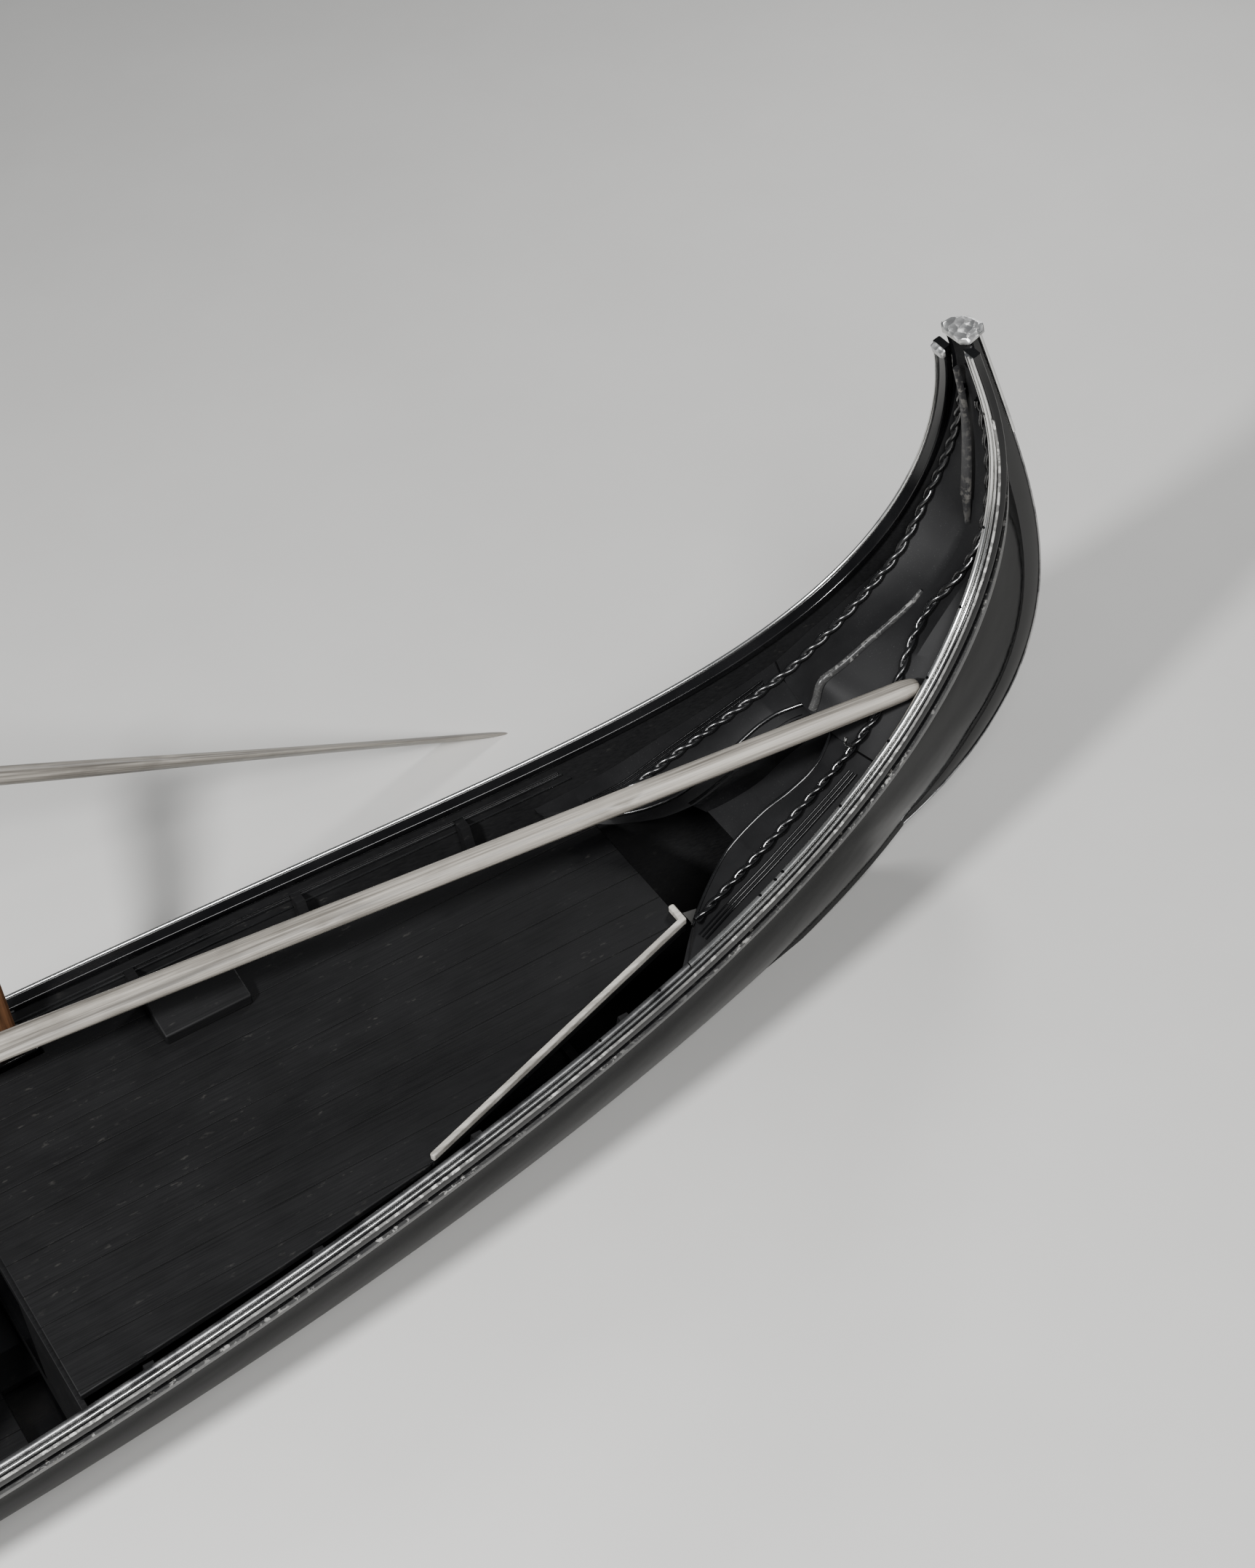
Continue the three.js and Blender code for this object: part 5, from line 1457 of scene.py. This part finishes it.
    def hook(self) -> None:
        """A small polished hook screwed to the port rope."""
        share = STERN.share_of_run(self.hook_run)
        _, inset, rope, _ = self.at(share)
        foot = LINES.inside_at(STERN, share, Side.PORT, rope, inset) + UP * 2 * self.rope_radius
        path = [foot + Vector((0.020 * math.sin(k * math.pi / 14), 0.0, 0.002 + 0.0042 * k))
                for k in range(11)]
        place(sweep("rope_hook", path, [Vector((0, 1, 0))] * len(path), circle(self.hook_wire, 10)), STRIP)


@dataclass
class BowWork:
    """The bow's gabled deck and its ropes."""

    rows: tuple[Row, ...] = (
        (0, .018, .012, .018, .018), (.3, .062, .040, .044, .026), (.8, .096, .090, .048, -.020),
        (1.6, .100, .112, .038, -.052), (2.4, .104, .122, .040, -.044))
    front: float = 2.25
    start: float = 0.1
    thick: float = 0.016
    gap: float = 0.003
    rope_radius: float = 0.014
    rope_lift: float = 0.013

    def build(self) -> None:
        """Makes and dresses the bow."""
        count = 150
        shares = [BOW.share_of_run(lerp(self.start, self.front, k / count)) for k in range(count + 1)]
        rings = []
        for share in shares:
            _, edge, inset, rope, ridge = table_at(self.rows, BOW.run_of(share))
            both = []
            for below in (0.0, self.thick):
                top = LINES.middle_at(BOW, share, ridge + below)
                port, starboard = ([LINES.inside_at(BOW, share, side, edge + below, self.gap),
                                    LINES.inside_at(BOW, share, side, rope + below, inset)] for side in Side)
                both.append([*port, *(port[1].lerp(top, k / 5) for k in range(1, 5)), top,
                             *(top.lerp(starboard[1], k / 5) for k in range(1, 5)), *reversed(starboard)])
            rings.append(both[0] + list(reversed(both[1])))
        place(loft("bow_deck_boards", rings, sharp=32), DECK, "bow_deck")
        for side in Side:
            path, ups = [], []
            for share in shares[8:]:
                _, _, inset, rope, _ = table_at(self.rows, BOW.run_of(share))
                ups.append(LINES.rail_up(BOW, share))
                path.append(LINES.inside_at(BOW, share, side, rope, inset) + ups[-1] * self.rope_lift)
            tool = rope_tool(self.rope_radius, *ROPE_CARVING, CARVED)
            place(tool.run(path_object(f"bow_carved_rope_{side.word}", path, ups)), CARVED,
                  f"bow_rope_{side.word}")


@dataclass
class SternHead:
    """The fittings of the stern's tip: the ledge beside the cap and the bar down the post."""

    bar_half: float = 0.0065
    bar_rise: float = 0.008
    bar_run: tuple[float, float] = (0.012, 0.41)
    bar_deep: float = 0.004
    bar_aside: float = 0.030
    band_half: float = 0.003
    band_run: tuple[float, float] = (0.41, 2.2)
    outwards: tuple[float, float, float] = (0.0, 0.85, 0.53)
    ledge_rows: tuple[Row, ...] = (
        # run, half width, height
        (0.084, 0.024, 0.008), (0.088, 0.028, 0.016), (0.112, 0.026, 0.014), (0.118, 0.016, 0.010))

    def build(self) -> None:
        """Makes and dresses the fittings."""
        section = half_round(-self.bar_half, self.bar_half, 0.0, self.bar_rise)
        place(sweep("stern_post_bar", *self.corner(*self.bar_run), section), STRIP, "stern_strap")
        section = half_round(-self.band_half, self.band_half, 0.0, self.band_half)
        place(sweep("stern_post_band", *self.corner(*self.band_run), section), DULL_STRIP)
        self.ledge()

    def corner(self, start: float, stop: float) -> tuple[Points, Points]:
        """The line down the post's port corner between two runs of the keel, and its outward directions."""
        steps = 80
        path = []
        for k in range(steps + 1):
            s, z, in_s, in_z, _ = LINES.keel_at(STERN, lerp(start, stop, k / steps) / STERN.keel[-1][2])
            y = LINES.centre(STERN, s) + self.bar_aside
            path.append(Vector((STERN.world_x(s + in_s * self.bar_deep), y, z + in_z * self.bar_deep)))
        return path, [Vector(self.outwards)] * len(path)

    def ledge(self) -> None:
        """The bright shoulder piece that closes the starboard rail under the cap."""
        rings = []
        for run, half, high in self.ledge_rows:
            share = STERN.share_of_run(run)
            up = LINES.rail_up(STERN, share)
            middle = LINES.rail_at(STERN, share, Side.STARBOARD) + Vector((0.0, 0.004, 0.0))
            rings.append([middle + up * (0.010 + z * high) + Vector((0.0, y * half, 0.0))
                          for y, z in rounded([(1, 0), (-1, 0), (-0.8, 1), (0.8, 1)], 0.25, 2)])
        place(loft("starboard_shoulder", rings), HEAD_STEEL)


@dataclass
class EasedSolids:
    """Timbers, furniture, doors and metalwork: the frame's own solids with eased edges."""

    rows: tuple[tuple, ...] = (
        # nodes, edge radius, bevel segments, finish, slot
        ("floor_timbers side_frames_port side_frames_starboard", 0.003, 2, BILGE, Slot.DARK),
        ("floorboards platform", 0.003, 2, BOARDS, Slot.DARK),
        ("aft_bulkhead fore_bulkhead", 0.002, 2, BILGE, Slot.LACQUER),
        ("aft_locker_door fore_locker_door", 0.003, 2, LACQUER, Slot.LACQUER),
        ("seat_base seat_back bench_port bench_starboard fore_thwart rowlock_block", 0.006, 3, LACQUER,
         Slot.LACQUER),
        ("foot_block", 0.005, 3, BILGE, Slot.WORN),
        ("platform_edge_strip", 0.005, 3, STRIP_WOOD, Slot.PALE_WOOD),
        ("stern_well_deck", 0.003, 2, DECK, Slot.LACQUER),
        ("stern_deck_front", 0.002, 2, LACQUER, Slot.LACQUER),
        ("stern_cap", 0.0012, 1, HEAD_STEEL, Slot.STEEL),
        ("bow_iron", 0.003, 3, STEEL, Slot.STEEL),
        ("brass_finial_port brass_finial_starboard", 0.001, 2, BRASS, Slot.BRASS),
        ("rowlock", 0.014, 4, WALNUT, Slot.WALNUT))

    def build(self) -> None:
        """Makes and dresses them, each door on its own body."""
        for names, radius, segments, finish, slot in self.rows:
            for node in names.split():
                body = node.replace("_locker", "") if node.endswith("door") else HULL
                place(softened(node, radius, segments), finish, node, slot=slot, body=body)


@dataclass
class Cushions:
    """The seat's, the back's and the benches' cushions, swollen by a short cloth simulation."""

    voxel: float = 0.009
    pressure: float = 4.0
    frames: int = 20
    slack: tuple[float, float] = (0.004, 0.006)  # past its solid's low and high side
    rim_points: int = 240
    cap: float = 0.024
    shrink: float = 0.012
    cord: float = 0.0045

    def build(self) -> None:
        """Makes, simulates and dresses the cushions."""
        for node in ("seat_cushion", "seat_back_pad", "bench_cushion_port", "bench_cushion_starboard"):
            self.cushion(node)

    def cushion(self, node: str) -> None:
        """One cushion, from its solid to its piped cover."""
        source = softened(node, 0.0)
        source.modifiers.clear()
        low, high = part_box(node)
        centre = (low + high) / 2
        for vertex in source.data.vertices:
            off = vertex.co - centre
            vertex.co = centre + Vector([part - math.copysign(min(self.shrink, abs(part) * 0.4), part)
                                         for part in off])
        remesh = source.modifiers.new("even skin", "REMESH")
        remesh.mode, remesh.voxel_size = "VOXEL", self.voxel
        source = self.applied(source)
        self.swell(source)
        smooth = source.modifiers.new("settled", "SMOOTH")
        smooth.factor, smooth.iterations = 0.5, 6
        source = self.applied(source)
        source.name = node + "_cloth"
        for face in source.data.polygons:
            face.use_smooth = True
        for vertex in source.data.vertices:
            vertex.co = Vector([clamp(vertex.co[n], low[n] - self.slack[0], high[n] + self.slack[1])
                                for n in range(3)])
        place(source, CLOTH, node)
        self.piping(source, high - low)

    def piping(self, cushion: Piece, size: Vector) -> None:
        """A corded seam round the cushion, where it stands out farthest from its middle."""
        thin = min(range(3), key=lambda axis: size[axis])
        across, over = (axis for axis in range(3) if axis != thin)
        points = [vertex.co for vertex in cushion.data.vertices]
        middle = sum(points, Vector()) / len(points)
        count = self.rim_points
        rim: list = [None] * count
        for point in points:
            off = point - middle
            flat = (off[across] / size[across], off[over] / size[over])
            slot = int((math.atan2(flat[1], flat[0]) / (2 * math.pi) + 1.0) * count) % count
            if rim[slot] is None or math.hypot(*flat) > rim[slot][0]:
                rim[slot] = (math.hypot(*flat), point.copy())
        line = [entry[1] for entry in rim if entry]
        for _ in range(5):
            line = [(line[k - 1] + line[k] * 2 + line[(k + 1) % len(line)]) / 4 for k in range(len(line))]
        axis = Vector([1.0 if n == thin else 0.0 for n in range(3)])
        seam = path_object(cushion.name + "_piping", [*line, line[0]], [axis] * (len(line) + 1))
        place(reed_tool(1, 0.0, self.cord, CORD).run(seam), CORD)

    def applied(self, piece: Piece) -> Piece:
        """Applies a piece's modifiers."""
        graph = bpy.context.evaluated_depsgraph_get()
        mesh = bpy.data.meshes.new_from_object(piece.evaluated_get(graph))
        piece.modifiers.clear()
        piece.data = mesh
        return piece

    def swell(self, piece: Piece) -> None:
        """Blows the cushion up under cloth, capping how far a point moves."""
        rest = [vertex.co.copy() for vertex in piece.data.vertices]
        cloth = piece.modifiers.new("stuffing", "CLOTH")
        settings = cloth.settings
        settings.use_pressure, settings.uniform_pressure_force = True, self.pressure
        settings.effector_weights.gravity = 0.0
        settings.quality = 4
        cloth.point_cache.frame_start, cloth.point_cache.frame_end = 1, self.frames
        for number in range(1, self.frames + 1):
            bpy.context.scene.frame_set(number)
        self.applied(piece)
        bpy.context.scene.frame_set(1)
        for vertex, before in zip(piece.data.vertices, rest):
            moved = vertex.co - before
            if moved.length > self.cap:
                vertex.co = before + moved.normalized() * self.cap


@dataclass
class Oars:
    """The working oar, which rides on its own body, and the spare oar."""

    rows: tuple[tuple[float, float, float], ...] = (
        # distance from the handle's end, half width, half thickness
        (0, .010, .010), (.004, .0165, .0165), (.012, .021, .021), (.03, .0242, .0242), (.05, .025, .025),
        (.6, .026, .026), (1.3, .027, .027), (1.9, .027, .027), (2.35, .030, .025), (2.7, .038, .020),
        (3.1, .054, .015), (3.7, .068, .011), (4.12, .074, .009), (4.185, .071, .0075), (4.2, .064, .006))
    spare_rows: tuple[tuple[float, float, float], ...] = (
        (0, .013, .013), (.005, .019, .019), (.018, .025, .025), (.05, .030, .029), (.9, .033, .030),
        (1.8, .037, .028), (2.4, .042, .025), (2.9, .050, .020), (3.4, .061, .015), (3.9, .070, .011),
        (4.12, .072, .009), (4.2, .064, .007))
    notch: tuple[float, float, float] = (-2.02, -0.8, 1.349)
    enters: tuple[float, float, float] = (-3.91, -1.116, 0.2)
    pivot_at: float = 1.68
    blade_way: tuple[float, float, float] = (0.43, -0.775, -0.46)
    spare_handle: tuple[float, float, float] = (-4.64, 0.24, 1.042)
    spare_way: tuple[float, float, float] = (3.936, -0.787, -0.392)
    spare_scale: float = 4.05 / 4.2

    def build(self) -> None:
        """Makes and dresses both oars."""
        way = (Vector(self.enters) - Vector(self.notch)).normalized()
        start = Vector(self.notch) - way * self.pivot_at
        oar = self.oar("working_oar_wood", self.rows, start, way, Vector(self.blade_way))
        place(oar, OAR_WOOD, "working_oar", body="working_oar")
        place(self.oar("spare_oar_wood", self.spare_rows, Vector(self.spare_handle),
                       Vector(self.spare_way).normalized(), Vector((0, 1, 0)), self.spare_scale),
              OAR_WOOD, "spare_oar")

    def oar(self, name: str, rows: tuple[Row, ...], start: Vector, way: Vector, wide: Vector,
            scale: float = 1.0) -> Piece:
        """One oar.

        Args:
            name: The piece's name.
            rows: Its half width and half thickness along its length.
            start: Its handle's end.
            way: Its direction.
            wide: The way that its blade is broad.
            scale: Its length against the table's.

        Returns:
            The oar.
        """
        thin = way.cross(wide).normalized()
        flat = thin.cross(way).normalized()
        distances = sorted({row[0] for row in rows} | {0.06 * k for k in range(1, 70)})
        rings = []
        for distance in distances:
            _, half, deep = table_at(rows, distance)
            rings.append([start + way * (distance * scale) + flat * (half * math.cos(2 * math.pi * k / 28))
                          + thin * (deep * math.sin(2 * math.pi * k / 28)) for k in range(28)])
        return loft(name, rings, sharp=60)


@dataclass
class Studio:
    """The camera, the pale floor at the waterline and the soft lights."""

    waterline: float = 0.2
    camera_at: tuple[float, float, float] = (-1.228, 5.071, 6.599)
    looks_at: tuple[float, float, float] = (-3.922, -0.149, 0.767)
    roll: float = -6.191
    focal: float = 68.02
    floor_half: float = 40.0
    surround: str = "b9bcc0"
    surround_strength: float = 0.26
    lit: tuple[float, float, float] = (-3.6, -0.1, 0.8)
    lamps: tuple[tuple, ...] = (
        # name, way to it, distance, diameter, watts
        ("key", (0.697, 0.320, 0.641), 9.0, 1.0, 1100.0),
        ("softbox", (0.05, 0.62, 0.78), 8.0, 3.0, 420.0),
        ("rim", (-0.72, -0.45, 0.52), 7.0, 1.6, 160.0))

    def build(self) -> None:
        """Sets the studio up."""
        self.camera()
        self.floor()
        self.lights()

    def camera(self) -> None:
        """The camera at the picture's place."""
        data = bpy.data.cameras.new("camera")
        data.lens, data.sensor_width, data.sensor_fit = self.focal, 36.0, "AUTO"
        data.clip_start, data.clip_end = 0.1, 200.0
        camera = enter("camera", data)
        ahead = (Vector(self.looks_at) - Vector(self.camera_at)).normalized()
        right = ahead.cross(UP).normalized()
        up = right.cross(ahead)
        turn = math.radians(self.roll)
        axes = (right * math.cos(turn) + up * math.sin(turn), up * math.cos(turn) - right * math.sin(turn),
                -ahead, Vector(self.camera_at))
        rows = [[axis[row] for axis in axes] for row in range(3)]
        camera.matrix_world = Matrix([*rows, [0.0, 0.0, 0.0, 1.0]])
        bpy.context.scene.camera = camera

    def outline(self) -> Points:
        """The hull's outline at the waterline, a little inside the planking."""
        found = {side: [] for side in Side}
        for end, share in LINES.run_through(90):
            for side in Side:
                low, high = 0.0, 1.0
                if LINES.side_at(end, share, side, 0.0).z > self.waterline:
                    continue
                for _ in range(24):
                    middle = (low + high) / 2
                    if LINES.side_at(end, share, side, middle).z < self.waterline:
                        low = middle
                    else:
                        high = middle
                point = LINES.side_at(end, share, side, low, 0.008)
                found[side].append(Vector((point.x, point.y, self.waterline)))
        return [*found[Side.PORT], *reversed(found[Side.STARBOARD])]

    def floor(self) -> None:
        """The floor, with a hole for the hull."""
        h = self.floor_half
        outer = [Vector((x, y, self.waterline)) for x, y in ((-h, -h), (h, -h), (h, h), (-h, h))]
        hole = self.outline()
        mesh = bpy.data.meshes.new("floor")
        mesh.from_pydata([tuple(point) for point in outer + hole], [], tessellate_polygon([outer, hole]))
        floor = finished("floor", mesh)
        if floor.data.polygons[0].normal.z < 0:
            floor.data.flip_normals()
        floor.data.materials.append(StudioFloor().material())

    def lights(self) -> None:
        """A key light from the bow's side, a broad softbox above and a pale surround."""
        world = bpy.data.worlds.new("studio")
        bpy.context.scene.world = world
        world.use_nodes = True
        back = world.node_tree.nodes["Background"]
        fill(world.node_tree, back, {0: linear(self.surround), 1: self.surround_strength})
        for name, way, distance, size, power in self.lamps:
            data = bpy.data.lights.new(name, "AREA")
            data.shape, data.size, data.energy = "DISK", size, power
            lamp = enter(name, data)
            lamp.location = Vector(self.lit) + Vector(way).normalized() * distance
            lamp.rotation_euler = Vector(way).to_track_quat("Z", "Y").to_euler()


def main() -> None:
    """Builds the studio and every sub-assembly."""
    logging.basicConfig(level=logging.INFO, format="%(name)s: %(message)s")
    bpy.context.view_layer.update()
    for assembly in (Studio(), Planking(), RailStrips(), SternDeck(), SternHead(), BowWork(), EasedSolids(),
                     Oars(), Cushions()):
        assembly.build()
        log.info("%s is built", type(assembly).__name__)


if __name__ == "__main__":
    main()
